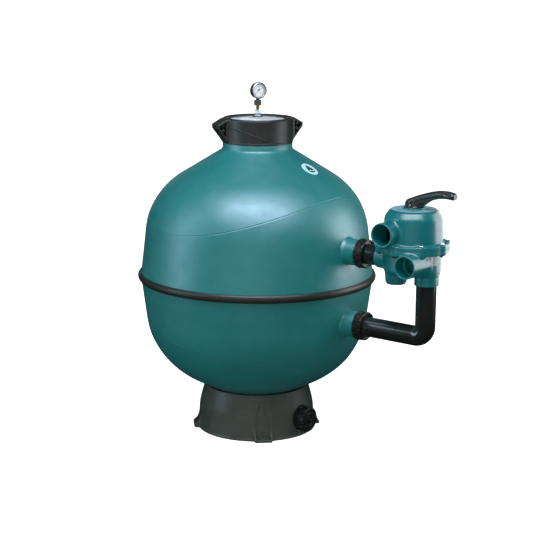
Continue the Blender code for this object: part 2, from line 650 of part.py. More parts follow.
def make_valve_cover():
    low, high = COVER_FLANGE_Z
    centre = (VALVE_X, 0, BELT_Z)
    shape = [(0, low), (FLANGE_R, low), (FLANGE_R, high, 0.003), (0.0925, high)]
    shape += [(0.0885, 0.2600, 0.030), (0.0765, COVER_TOP, 0.008), (0, COVER_TOP)]
    part = add_part("valve_cover", turned(shape, VALVE_SIDES), "valve_teal", centre)
    port_x = PUMP_PORT[0] - VALVE_X
    port_at = (port_x, 0, PUMP_PORT[2])
    boolean(part, "UNION", cylinder(PUMP_SOCKET_R, 0.02, -PUMP_PORT[1], axis="-Y", at=port_at))
    inside = [(0, low - 0.01), (CAVITY_R, low - 0.01), (CAVITY_R, 0.2440, 0.030)]
    inside += [(0.0680, COVER_TOP_INSIDE), (0, COVER_TOP_INSIDE)]
    boolean(
        part, "DIFFERENCE",
        turned(inside, VALVE_SIDES),
        cylinder(SOCKET_BORE_R, 0.03, 0.145, axis="-Y", at=port_at),
        cylinder(STEM_R + 0.002, 0.26, 0.30, SMALL_SIDES),
    )
    for bolt in range(BOLTS):
        boolean(part, "DIFFERENCE", bolt_hole(bolt, low - 0.01, high + 0.01))
    spot_face = cylinder(0.0100, high - GAP, 0.1910, SMALL_SIDES, at=bolt_place(PORT_SIDE_BOLT))
    boolean(part, "DIFFERENCE", spot_face)
    gasket = tube(0.0975, 0.0860, BODY_FLANGE_Z[1] + GAP, low - GAP, VALVE_SIDES)
    add_part("cover_gasket", gasket, "seal_rubber", centre)
    plate = tube(PLATE_R, 0.0290, COVER_TOP + GAP, COVER_TOP + 0.0013, VALVE_SIDES)
    add_part("position_plate", plate, "white_plastic", centre)


def make_bolts():
    shape = [(0, 0.1580), (0.0038, 0.1580), (0.0038, COVER_FLANGE_Z[1] + GAP)]
    shape += [(0.0075, COVER_FLANGE_Z[1] + GAP), (0.0075, 0.1895), (0, 0.1895)]
    for index in range(BOLTS):
        x, y, _ = bolt_place(index)
        at = (VALVE_X + x, y, BELT_Z)
        add_part(f"cover_bolt_{index + 1}", turned(shape, TINY_SIDES), "steel", at)


def make_selector():
    centre = (VALVE_X, 0, BELT_Z)
    seal = tube(CAVITY_R - 0.0008, LEDGE_R + 0.0005, LEDGE_Z + GAP, 0.1555, VALVE_SIDES)
    add_part("diverter_seal", seal, "seal_rubber", centre)
    disc = [(0, 0.1562), (0.0760, 0.1562), (0.0760, 0.1745), (STEM_R, 0.1745), (STEM_R, 0.3040)]
    disc += [(0, 0.3040)]
    part = add_part("diverter", turned(disc, 16), "white_plastic", centre)
    boolean(
        part, "DIFFERENCE",
        box((-0.066, -0.026), (-0.018, 0.018), (0.15, 0.18)),
        cylinder(0.0034, -0.02, 0.02, 8, axis="Y", at=(0, 0, HANDLE_PIN_Z)),
    )
    washer = tube(0.0220, STEM_R + 0.001, 0.2705, COVER_TOP_INSIDE - GAP, 16)
    add_part("spring_washer", washer, "steel", centre)
    washer = tube(0.0260, STEM_R + 0.001, COVER_TOP + GAP, HANDLE_HUB_Z - 0.0005, 16)
    add_part("thrust_washer", washer, "white_plastic", centre)
    make_spring(centre)

    pin = cylinder(0.0030, -0.0225, 0.0225, 8, axis="Y")
    add_part("handle_pin", pin, "steel", (VALVE_X, 0, BELT_Z + HANDLE_PIN_Z))


def make_spring(centre):
    """An open coil round the stem, between the diverter and the washer under the cover's top."""
    wire, coil, turns, per_turn, sides = 0.0018, 0.0165, 4, 8, 4
    low, high = 0.1748 + wire, 0.2702 - wire
    bm = bmesh.new()
    rings = []
    count = turns * per_turn
    for index in range(count + 1):
        angle = 2 * math.pi * index / per_turn
        outward = Vector((math.cos(angle), math.sin(angle), 0))
        middle = outward * coil + Vector((0, 0, low + (high - low) * index / count))
        ring = []
        for side in range(sides):
            around = 2 * math.pi * side / sides
            offset = outward * wire * math.cos(around) + Vector((0, 0, wire * math.sin(around)))
            ring.append(bm.verts.new(middle + offset))
        rings.append(ring)
    bridge(bm, rings, closed=False)
    bm.faces.new(rings[0])
    bm.faces.new(rings[-1])
    add_part("selector_spring", bm, "steel", centre)


def make_handle():
    pin_z = HANDLE_PIN_Z
    hub = HANDLE_HUB_Z - pin_z
    lever = [(-0.0240, hub + 0.001), (0.0240, hub + 0.001), (0.0400, 0.004), (0.0700, 0.025)]
    lever += [(0.1080, 0.035), (0.1490, 0.030), (0.1490, 0.044, 0.004), (0.0880, 0.059, 0.060)]
    lever += [(0.0150, 0.034, 0.040), (-0.0240, 0.016, 0.006)]
    part = add_part("handle", upright(lever, 0.0130), "black_plastic", (VALVE_X, 0, BELT_Z + pin_z))
    boolean(part, "UNION", cylinder(0.0265, hub, 0.0120))
    boolean(
        part, "DIFFERENCE",
        cylinder(0.0112, hub - 0.01, 0.0130, 16),
        cylinder(0.0040, -0.03, 0.03, 8, axis="Y"),
    )


def make_waste_plug():
    rim = WASTE_BOSS_R - 0.003
    shape = [(0, 0.0440), (rim, 0.0440), (rim, 0.0477), (0.0212, 0.0477), (0.0212, 0.0700)]
    shape += [(0.0170, 0.0700), (0.0170, 0.0500), (0, 0.0500)]
    at = (WASTE_PORT_X, 0, BELT_Z)
    add_part("waste_plug", turned(shape, PIPE_SIDES), "black_plastic", at)


clear_scene()
make_tank()
make_base()
make_drain()
make_closure()
make_bleed_and_gauge()
make_inside()
make_pipes()
make_valve_body()
make_valve_cover()
make_bolts()
make_selector()
make_handle()
make_waste_plug()
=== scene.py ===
"""A side-mount sand filter tank in its finished look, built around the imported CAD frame.

Metres, +Z up, the frame's own axes: the tank stands on the origin, and the pipes and the
multiport valve lie along +X. Round pieces are turned from fine outlines. Moulded pieces with
soft fillets are distance fields, meshed on a grid and pulled onto their exact surface.
"""

import itertools
import math

import bmesh
import bpy
import numpy as np
from mathutils import Matrix, Vector


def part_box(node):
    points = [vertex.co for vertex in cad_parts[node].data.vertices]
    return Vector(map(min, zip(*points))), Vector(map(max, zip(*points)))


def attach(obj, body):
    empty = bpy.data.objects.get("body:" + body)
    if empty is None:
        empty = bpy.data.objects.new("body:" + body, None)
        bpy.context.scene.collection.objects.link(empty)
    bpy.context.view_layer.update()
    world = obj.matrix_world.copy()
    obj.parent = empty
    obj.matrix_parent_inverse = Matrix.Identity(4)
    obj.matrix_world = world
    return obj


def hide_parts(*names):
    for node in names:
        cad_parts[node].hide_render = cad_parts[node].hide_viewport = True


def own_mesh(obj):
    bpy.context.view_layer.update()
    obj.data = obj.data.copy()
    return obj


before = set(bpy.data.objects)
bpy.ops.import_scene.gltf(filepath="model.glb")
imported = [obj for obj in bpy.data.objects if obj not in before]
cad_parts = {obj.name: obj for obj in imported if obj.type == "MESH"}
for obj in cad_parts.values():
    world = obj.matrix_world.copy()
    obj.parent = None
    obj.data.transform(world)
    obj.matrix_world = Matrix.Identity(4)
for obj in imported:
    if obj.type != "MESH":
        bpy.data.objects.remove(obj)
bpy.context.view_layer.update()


# ---------------------------------------------------------------- places read from the frame

def middle(node):
    """The centre of a CAD node's box."""
    low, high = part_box(node)
    return [(a + b) / 2 for a, b in zip(low, high)]


BELT_Z = middle("belt_band")[2]
UPPER_PORT_Z = middle("upper_union_nut")[2]
LOWER_PORT_Z = middle("lower_union_nut")[2]
VALVE_X = middle("cover_gasket")[0]
WASTE_X = middle("waste_plug")[0]
DRAIN_Z = middle("drain_seal")[2]
PIN_Z = middle("handle_pin")[2]
GAUGE_Z = middle("gauge_dial")[2]
PIPE_OUTER, PIPE_INNER, SOCKET_R = 0.0315, 0.0265, 0.0318
DROP_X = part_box("lower_pipe")[1][0] - PIPE_OUTER
GAUGE_FACING = math.radians(-23)
NUT_X = (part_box("upper_union_nut")[0][0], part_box("upper_union_nut")[1][0])
BOLTS = [middle(f"cover_bolt_{index + 1}") for index in range(8)]

SAME_POINT = 1e-6
SHARP_DEGREES = 32
STEPS_PER_QUARTER = 5


# ---------------------------------------------------------------- turned and swept meshes

def rounded(corners, arc_length=0.006):
    """The closed outline through corners (x, y) or (x, y, radius), with fine arcs."""
    points = []
    for index, corner in enumerate(corners):
        here = Vector(corner[:2])
        if len(corner) == 2:
            points.append(tuple(here))
            continue
        back = (Vector(corners[index - 1][:2]) - here).normalized()
        ahead = (Vector(corners[(index + 1) % len(corners)][:2]) - here).normalized()
        half = back.angle(ahead) / 2
        centre = here + (back + ahead).normalized() * corner[2] / math.sin(half)
        spoke = here + back * corner[2] / math.tan(half) - centre
        turn = math.copysign(math.pi - 2 * half, back.y * ahead.x - back.x * ahead.y)
        steps = max(2, math.ceil(abs(turn) / (math.pi / 2) * STEPS_PER_QUARTER))
        steps = max(steps, math.ceil(abs(turn) * corner[2] / arc_length))
        for step in range(steps + 1):
            points.append(tuple(centre + Matrix.Rotation(turn * step / steps, 2) @ spoke))
    return points


def along(axis):
    """Turns +Z to the named axis."""
    return {
        "Z": Matrix.Identity(4),
        "X": Matrix.Rotation(math.pi / 2, 4, "Y"),
        "-Y": Matrix.Rotation(math.pi / 2, 4, "X"),
        "Y": Matrix.Rotation(-math.pi / 2, 4, "X"),
    }[axis]


def linked(name, data):
    """A new object for data, in the scene."""
    obj = bpy.data.objects.new(name, data)
    bpy.context.scene.collection.objects.link(obj)
    return obj


def plain_mesh(name, verts, faces):
    mesh = bpy.data.meshes.new(name)
    mesh.from_pydata([tuple(v) for v in verts], [], faces)
    return mesh


def evaluated_mesh(obj):
    graph = bpy.context.evaluated_depsgraph_get()
    return bpy.data.meshes.new_from_object(obj.evaluated_get(graph))


def smooth(mesh, sharp=SHARP_DEGREES):
    """Smooth shading, with creases kept where faces meet at more than sharp degrees."""
    mesh.shade_smooth()
    if sharp:
        mesh.set_sharp_from_angle(angle=math.radians(sharp))


def edit(obj, change):
    """Runs change on the mesh of obj, as a bmesh."""
    bm = bmesh.new()
    bm.from_mesh(obj.data)
    change(bm)
    bm.to_mesh(obj.data)
    bm.free()


def new_piece(name, verts, faces, finish, sharp=SHARP_DEGREES):
    """A smooth-shaded object from lists or arrays of vertices and faces."""
    if isinstance(faces, np.ndarray):
        mesh = bpy.data.meshes.new(name)
        corners = faces.shape[1]
        mesh.vertices.add(len(verts))
        mesh.vertices.foreach_set("co", np.asarray(verts, dtype=np.float32).ravel())
        mesh.loops.add(faces.size)
        mesh.loops.foreach_set("vertex_index", faces.astype(np.int32).ravel())
        mesh.polygons.add(len(faces))
        mesh.polygons.foreach_set("loop_start", np.arange(0, faces.size, corners, dtype=np.int32))
        mesh.update(calc_edges=True)
        mesh.validate()
    else:
        mesh = plain_mesh(name, verts, faces)
    smooth(mesh, sharp)
    mesh.materials.append(finish)
    return linked(name, mesh)


def add_ring(verts, rings, count, point):
    """Appends count points, which point gives for the angles of a full turn, as a new ring."""
    rings.append(list(range(len(verts), len(verts) + count)))
    verts += [point(2 * math.pi * side / count) for side in range(count)]


def ring_faces(rings, closed=True):
    """Faces between rings of vertex indices, a ring of one index being a pole."""
    faces = []
    following = rings[1:] + rings[:1] if closed else rings[1:]
    for ring, after in zip(rings, following):
        sides = max(len(ring), len(after))
        if sides == 1:
            continue
        for side in range(sides):
            ahead = (side + 1) % sides
            loop = [ring[side % len(ring)], ring[ahead % len(ring)]]
            loop += [after[ahead % len(after)], after[side % len(after)]]
            faces.append(list(dict.fromkeys(loop)))
    return faces


def turned_data(corners, sides, place):
    """Vertices and faces of a body turned about +Z from (radius, height) corners, then placed."""
    outline = rounded(corners)
    area = sum(a[0] * b[1] - b[0] * a[1] for a, b in zip(outline, outline[1:] + outline[:1]))
    if area < 0:
        outline.reverse()
    verts, rings = [], []
    for radius, height in outline:
        add_ring(verts, rings, 1 if radius < SAME_POINT else sides, lambda angle: place @ Vector(
            (radius * math.cos(angle), radius * math.sin(angle), height)))
    return verts, ring_faces(rings)


def turned(name, corners, finish, sides=96, axis="Z", at=(0, 0, 0), place=None):
    place = place or Matrix.Translation(at) @ along(axis)
    return new_piece(name, *turned_data(corners, sides, place), finish)


def swept(name, route, radii, finish, sides):
    """A pipe in the XZ plane, through route's points; radii are (outer, inner)."""
    axis = Vector((0, 1, 0))
    verts, outer, inner = [], [], []
    for index, point in enumerate(route):
        behind = (point - route[max(index - 1, 0)]).normalized()
        ahead = (route[min(index + 1, len(route) - 1)] - point).normalized()
        across = axis.cross((behind + ahead).normalized())
        for radius, rings in zip(radii, (outer, inner)):
            add_ring(verts, rings, sides, lambda angle: point + (
                across * math.cos(angle) + axis * math.sin(angle)) * radius)
    return new_piece(name, verts, ring_faces(outer + inner[::-1]), finish)


def boolean(obj, operation, *tools):
    """Joins or cuts each (verts, faces) with obj, and applies it."""
    for verts, faces in tools:
        tool = linked("tool", plain_mesh("tool", verts, faces))
        modifier = obj.modifiers.new("boolean", "BOOLEAN")
        modifier.operation = operation
        modifier.solver = "MANIFOLD"
        modifier.object = tool
        result = evaluated_mesh(obj)
        obj.modifiers.clear()
        obj.data = result
        bpy.data.objects.remove(tool, do_unlink=True)
    smooth(obj.data)


# ---------------------------------------------------------------- distance fields

def hypot(a, b):
    return np.sqrt(a * a + b * b)


def corner_of(a, b):
    """The distance to a shape bounded by both a and b, exact outside its corner."""
    return np.minimum(np.maximum(a, b), 0) + hypot(np.maximum(a, 0), np.maximum(b, 0))


def rod(axial, radial, low, high, radius, soft=0.001):
    """A capped cylinder with edges rounded by soft."""
    half = (high - low) / 2 - soft
    return corner_of(radial - radius + soft, np.abs(axial - (low + high) / 2) - half) - soft


def block(x, y, z, spans, soft=0.001):
    """A box between pairs of limits, with edges rounded by soft."""
    sides = []
    for value, (low, high) in zip((x, y, z), spans):
        sides.append(np.abs(value - (low + high) / 2) - (high - low) / 2 + soft)
    inside = np.minimum(np.maximum(sides[0], np.maximum(sides[1], sides[2])), 0)
    outside = np.sqrt(sum(np.maximum(side, 0) ** 2 for side in sides))
    return inside + outside - soft


def outline(u, v, points, soft=0.0):
    """Distance to a closed polygon in the (u, v) plane, negative inside, rounded by soft."""
    squared = np.full(np.broadcast(u, v).shape, 1e9)
    sign = np.ones(squared.shape)
    for (ax, ay), (bx, by) in zip(points, points[1:] + points[:1]):
        ex, ey = bx - ax, by - ay
        wx, wy = u - ax, v - ay
        t = np.clip((wx * ex + wy * ey) / (ex * ex + ey * ey), 0, 1)
        squared = np.minimum(squared, (wx - ex * t) ** 2 + (wy - ey * t) ** 2)
        above, below, left = v >= ay, v < by, ex * wy > ey * wx
        flips = (above & below & left) | ~(above | below | left)
        sign = np.where(flips, -sign, sign)
    return sign * np.sqrt(squared) - soft


def plate(flat, across, half, soft=0.001):
    """A 2-D shape's distance given a thickness of half each way, with rounded edges."""
    return corner_of(flat + soft, np.abs(across) - half + soft) - soft


def join(a, b, soft):
    blend = np.clip(0.5 + 0.5 * (b - a) / soft, 0, 1)
    return b + (a - b) * blend - soft * blend * (1 - blend)


def cut(a, b, soft=0.0008):
    return -join(-a, b, soft)


def repeated(x, y, count, phase=0.0):
    """Coordinates along and across the nearest of count equal directions in plan."""
    step = 2 * math.pi / count
    angle = np.arctan2(y, x) - phase
    angle = angle - step * np.round(angle / step)
    radius = hypot(x, y)
    return radius * np.cos(angle), radius * np.sin(angle)


BLOCK = 12


def sampled(shape, low, counts, step):
    """The field on a grid: exact near the surface, only its sign elsewhere."""
    size = BLOCK * step
    places = [low[k] + (np.arange(counts[k]) + 0.5) * size for k in range(3)]
    centres = shape(*np.meshgrid(*places, indexing="ij"))
    near = np.argwhere(np.abs(centres) < size)
    field = np.sign(centres)
    for axis in range(3):
        field = np.repeat(field, BLOCK, axis)
    offsets = (np.arange(BLOCK) + 0.5) * step
    for start in range(0, len(near), 128):
        part = near[start:start + 128]
        grid = []
        for axis in range(3):
            view = [1, 1, 1, 1]
            view[0], view[axis + 1] = len(part), BLOCK
            grid.append((low[axis] + part[:, axis, None] * size + offsets).reshape(view))
        grid = np.broadcast_arrays(*grid)
        for (i, j, k), values in zip(part * BLOCK, shape(*grid)):
            field[i:i + BLOCK, j:j + BLOCK, k:k + BLOCK] = values
    return field


def slopes(shape, points, reach):
    """The field and its gradient at points."""
    gradient = np.empty_like(points)
    for axis in range(3):
        shift = np.zeros(3)
        shift[axis] = reach
        ahead, behind = points + shift, points - shift
        gradient[:, axis] = (shape(*ahead.T) - shape(*behind.T)) / (2 * reach)
    return shape(*points.T), gradient


def moulded(name, low, high, step, shape, finish, sharp=None):
    """The closed surface where the field is zero, between two corners, as quads of size step."""
    low = [value - 2.37 * step for value in low]
    counts = [math.ceil((b - a + 3 * step) / (step * BLOCK)) for a, b in zip(low, high)]
    field = sampled(shape, low, counts, step)
    inside = field < 0
    counts = [n - 1 for n in field.shape]
    total = np.zeros(counts, dtype=np.int8)
    for i, j, k in itertools.product((0, 1), repeat=3):
        total += inside[i:counts[0] + i, j:counts[1] + j, k:counts[2] + k]
    cells = np.argwhere((total > 0) & (total < 8))
    index = np.full(counts, -1, dtype=np.int32)
    index[tuple(cells.T)] = np.arange(len(cells))

    place = np.zeros((len(cells), 3))
    crossings = np.zeros(len(cells))
    unit = np.eye(3, dtype=int)
    for axis in range(3):
        u, v = (axis + 1) % 3, (axis + 2) % 3
        for i, j in itertools.product((0, 1), repeat=2):
            first = cells + i * unit[u] + j * unit[v]
            start, end = field[tuple(first.T)], field[tuple((first + unit[axis]).T)]
            crosses = (start < 0) != (end < 0)
            share = np.where(crosses, start / np.where(crosses, start - end, 1), 0)
            place += np.where(crosses[:, None], first + share[:, None] * unit[axis], 0)
            crossings += crosses
    points = np.array(low) + (place / crossings[:, None] + 0.5) * step
    for _ in range(3):
        value, gradient = slopes(shape, points, step * 0.2)
        length = np.maximum((gradient ** 2).sum(1), 0.2)
        move = (value / length)[:, None] * gradient
        size = np.maximum(np.linalg.norm(move, axis=1) / (0.5 * step), 1)
        points -= move / size[:, None]

    quads = []
    for axis in range(3):
        u, v = unit[(axis + 1) % 3], unit[(axis + 2) % 3]
        ends = [slice(None)] * 3
        starts = list(ends)
        starts[axis], ends[axis] = slice(None, -1), slice(1, None)
        changed = inside[tuple(starts)] != inside[tuple(ends)]
        edges = np.argwhere(changed)
        outward = inside[tuple(starts)][tuple(edges.T)]
        corners = [edges - u - v, edges - v, edges, edges - u]
        loop = np.stack([index[tuple(corner.T)] for corner in corners], axis=1)
        loop[~outward] = loop[~outward][:, ::-1]
        quads.append(loop)
    return new_piece(name, points, np.concatenate(quads), finish, sharp)


# ---------------------------------------------------------------- materials

class Graph:
    """A material's node tree, built with short calls."""

    def __init__(self, name):
        self.material = bpy.data.materials.new(name)
        self.material.use_nodes = True
        self.tree = self.material.node_tree
        self.shader = self.tree.nodes["Principled BSDF"]
        coordinates = self.tree.nodes.new("ShaderNodeTexCoord")
        self.place = coordinates.outputs["Object"]

    def give(self, socket, value):
        """Links value to the socket when it is an output, or else sets it."""
        if isinstance(value, bpy.types.NodeSocket):
            self.tree.links.new(value, socket)
        else:
            socket.default_value = value

    def feed(self, name, source):
        self.tree.links.new(source, self.shader.inputs[name])

    def node(self, kind, inputs=None, **settings):
        made = self.tree.nodes.new(f"ShaderNode{kind}")
        for key, value in settings.items():
            setattr(made, key, value)
        for key, value in (inputs or {}).items():
            self.give(made.inputs[key], value)
        return made

    def noise(self, scale, detail=3.0, roughness=0.5):
        settings = {"Vector": self.place, "Scale": scale, "Detail": detail, "Roughness": roughness}
        return self.node("TexNoise", settings).outputs[0]

    def ramp(self, value, low, high, start=0.0, end=1.0):
        settings = {0: value, 1: low, 2: high, 3: start, 4: end}
        return self.node("MapRange", settings).outputs[0]

    def times(self, a, b):
        return self.node("Math", {0: a, 1: b}, operation="MULTIPLY").outputs[0]

    def mix(self, share, a, b):
        made = self.node("Mix", data_type="RGBA")
        for index, value in zip((0, 6, 7), (share, a, b)):
            self.give(made.inputs[index], (*value, 1.0) if isinstance(value, tuple) else value)
        return made.outputs[2]


def plastic(
    name, colour, light, rough, grain=900.0, depth=0.00002, waves=14.0, wave_depth=0.0004,
    mottle=0.5, wear=0.0, wear_colour=None, coat=0.0, metallic=0.0, specks=0.03,
    specular=0.5, tint=(1.0, 1.0, 1.0), ior=1.5,
):
    """Moulded, painted or turned stock: colour drift, fine grain, worn edges, uneven gloss."""
    g = Graph(name)
    drift = g.ramp(g.noise(5.0, 4.0), 0.35, 0.65)
    base = g.mix(g.times(drift, mottle), colour, light)
    cloud = g.ramp(g.noise(38.0, 5.0, 0.6), 0.42, 0.62)
    base = g.mix(g.times(cloud, mottle * 0.35), base, light)
    speck = g.ramp(g.noise(grain * 0.45, 2.0), 0.55, 0.75)
    base = g.mix(g.times(speck, specks), base, (0.6, 0.65, 0.65))
    edges = g.ramp(g.node("NewGeometry").outputs["Pointiness"], 0.515, 0.6)
    patchy = g.times(edges, g.ramp(g.noise(70.0, 4.0), 0.35, 0.65))
    base = g.mix(g.times(patchy, wear), base, wear_colour or light)
    g.feed("Base Color", base)
    gloss = g.ramp(g.noise(22.0, 6.0, 0.65), 0.3, 0.7, rough * 0.88, rough * 1.12)
    g.feed("Roughness", gloss)
    soft = g.node("Bump", {
        "Height": g.noise(waves, 2.0), "Strength": 0.5, "Distance": wave_depth,
    })
    fine = g.node("Bump", {
        "Height": g.noise(grain, 2.0), "Strength": 0.6, "Distance": depth,
        "Normal": soft.outputs[0],
    })
    g.feed("Normal", fine.outputs[0])
    g.shader.inputs["Metallic"].default_value = metallic
    g.shader.inputs["Coat Weight"].default_value = coat
    g.shader.inputs["Coat Roughness"].default_value = 0.06
    g.shader.inputs["Specular IOR Level"].default_value = specular
    g.shader.inputs["Specular Tint"].default_value = (*tint, 1.0)
    g.shader.inputs["IOR"].default_value = ior
    return g.material


def clear(name, colour, low, high, rough=0.05):
    """Clear moulded plastic: see-through face on, bright at grazing, with faint flow marks."""
    g = Graph(name)
    haze = g.ramp(g.noise(26.0, 4.0), 0.35, 0.65)
    g.feed("Base Color", g.mix(haze, colour, (0.93, 0.96, 0.97)))
    facing_away = g.node("LayerWeight", {"Blend": 0.45}).outputs["Facing"]
    alpha = g.ramp(facing_away, 0.05, 0.9, low, high)
    g.feed("Alpha", alpha)
    gloss = g.ramp(g.noise(60.0, 4.0), 0.3, 0.7, rough * 0.7, rough * 1.5)
    g.feed("Roughness", gloss)
    bump = g.node("Bump", {"Height": g.noise(45.0, 3.0), "Strength": 0.35, "Distance": 0.0004})
    g.feed("Normal", bump.outputs[0])
    g.shader.inputs["Specular IOR Level"].default_value = 0.8
    return g.material


TANK = plastic(
    "tank_finish", (0.0003, 0.134, 0.124), (0.001, 0.164, 0.155), 0.45, grain=1100.0, depth=0.00005,
    waves=9.0, mottle=0.45, wear=0.35, wear_colour=(0.02, 0.24, 0.24), specks=0.005, specular=1.0,
    tint=(0.76, 0.88, 1.0), ior=1.76,
)
VALVE = plastic(
    "valve_finish", (0.0003, 0.104, 0.11), (0.001, 0.13, 0.138), 0.31, depth=0.00001, waves=18.0,
    wave_depth=0.00008, mottle=0.3, wear=0.2, wear_colour=(0.1, 0.42, 0.46), specks=0.005,
    specular=0.8, ior=1.55,
)
BLACK = plastic(
    "black_moulded", (0.027, 0.032, 0.026), (0.054, 0.06, 0.052), 0.42, grain=800.0, depth=0.0001,
    wear=0.6, wear_colour=(0.13, 0.14, 0.135), specks=0.02,
)
BASE = plastic(
    "base_finish", (0.036, 0.042, 0.034), (0.066, 0.074, 0.063), 0.42, grain=800.0, depth=0.0001,
    wear=0.6, wear_colour=(0.16, 0.17, 0.16), specks=0.02,
)
PIPE = plastic(
    "black_pipe_finish", (0.006, 0.008, 0.007), (0.014, 0.017, 0.015), 0.17, grain=500.0,
    depth=0.00003, waves=24.0, wave_depth=0.00025, wear=0.4, wear_colour=(0.09, 0.1, 0.095),
    coat=0.2, specks=0.02, specular=1.0,
)
BELT = plastic(
    "belt_finish", (0.012, 0.014, 0.011), (0.025, 0.028, 0.024), 0.41, grain=700.0, depth=0.00008,
    wear=0.5, wear_colour=(0.12, 0.12, 0.12), specks=0.015,
)
HANDLE = plastic(
    "handle_finish", (0.007, 0.009, 0.007), (0.024, 0.027, 0.024), 0.36, grain=650.0, depth=0.00014,
    mottle=0.6, wear=0.6, wear_colour=(0.14, 0.15, 0.14), specks=0.02, specular=0.9,
)
CAP = plastic(
    "cap_finish", (0.005, 0.006, 0.005), (0.014, 0.016, 0.015), 0.3, grain=700.0, depth=0.00008,
    wear=0.5, wear_colour=(0.1, 0.1, 0.1), specks=0.015,
)
RUBBER = plastic(
    "rubber", (0.012, 0.012, 0.012), (0.03, 0.03, 0.03), 0.68, grain=1300.0, depth=0.0001,
    mottle=0.6, wear=0.3, wear_colour=(0.08, 0.08, 0.08), specks=0.08,
)
WHITE = plastic(
    "white_moulded", (0.62, 0.63, 0.6), (0.76, 0.77, 0.75), 0.42, grain=700.0, depth=0.00008,
    mottle=0.6, wear=0.2, wear_colour=(0.85, 0.85, 0.83), specks=0.05,
)
STEEL = plastic(
    "bright_steel", (0.5, 0.51, 0.52), (0.66, 0.67, 0.68), 0.22, grain=420.0, depth=0.00004,
    waves=60.0, wave_depth=0.0001, mottle=0.6, wear=0.4, wear_colour=(0.8, 0.8, 0.8), metallic=1.0,
    specks=0.05,
)
BRASS = plastic(
    "turned_brass", (0.56, 0.37, 0.13), (0.74, 0.54, 0.25), 0.26, grain=520.0, depth=0.00005,
    waves=80.0, wave_depth=0.0001, mottle=0.6, wear=0.5, wear_colour=(0.88, 0.72, 0.42),
    metallic=1.0, specks=0.04,
)
PAPER = plastic(
    "dial_card", (0.8, 0.8, 0.77), (0.88, 0.88, 0.86), 0.5, grain=1500.0,
)
INK = plastic(
    "dial_ink", (0.01, 0.01, 0.011), (0.03, 0.03, 0.032), 0.5, grain=1500.0, mottle=0.6,
)
LABEL = plastic(
    "label_white", (0.36, 0.58, 0.6), (0.46, 0.68, 0.7), 0.38, grain=1300.0, wear=0.2,
    wear_colour=(0.9, 0.92, 0.92),
)
CARD = plastic(
    "position_card", (0.1, 0.25, 0.28), (0.19, 0.36, 0.4), 0.42, grain=1300.0, mottle=0.6, wear=0.3,
    wear_colour=(0.6, 0.7, 0.7),
)
LABEL_INK = plastic(
    "label_ink", (0.01, 0.045, 0.045), (0.02, 0.075, 0.072), 0.4, grain=1300.0, specks=0.04,
)
LID_CLEAR = clear("lid_clear", (0.4, 0.45, 0.44), 0.3, 0.8)
WINDOW_CLEAR = clear("window_clear", (0.88, 0.92, 0.93), 0.06, 0.6, 0.03)
WING_CLEAR = clear("wing_clear", (0.42, 0.46, 0.46), 0.45, 0.95, 0.04)


# ---------------------------------------------------------------- the pieces' places in the frame

def stands_for(obj, body, slot, *nodes):
    """Rides obj on a body and hides the CAD nodes that it replaces; slot is not used."""
    if nodes:
        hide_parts(*nodes)
    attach(obj, body)
    return obj


# ---------------------------------------------------------------- tank shells

# Millimetres along the skin from the wave line, closest together at its groove.
WAVE_OFFSETS = (-4.5, -3.2, -2.3, -1.6, -1.0, -0.5, 0.0, 0.5, 1.0, 1.6, 2.3, 3.2, 4.5)
RIDGE_HEIGHT = 0.0016
RIDGE_REACH = 0.045
RIDGE_FADE = 0.03
GROOVE_DEPTH = 0.0006
GROOVE_HALF = 0.0016
TANK_SIDES = 288
DOME_OUTLINE = rounded([(0.383, 0.0128), (0.3528, 0.2717, 0.245), (0.13, 0.4082)])


def wave_height(angle):
    """How high above the belt the moulded wave line runs on the upper half."""
    slow = 0.026 * math.cos(angle - math.radians(38))
    return 0.2277 + slow + 0.034 * math.cos(2 * (angle + math.radians(5)))


def shell_rows(profile):
    """A function from arc length to (radius, height, normal) along an open profile."""
    points = np.array(profile)
    lengths = np.concatenate([[0], np.cumsum(np.linalg.norm(np.diff(points, axis=0), axis=1))])

    def at(s):
        radius = np.interp(s, lengths, points[:, 0])
        height = np.interp(s, lengths, points[:, 1])
        ahead = np.array([np.interp(s + 0.002, lengths, points[:, k]) for k in (0, 1)])
        behind = np.array([np.interp(s - 0.002, lengths, points[:, k]) for k in (0, 1)])
        way = (ahead - behind) / np.linalg.norm(ahead - behind)
        return radius, height, (way[1], -way[0])

    return at, lengths, points


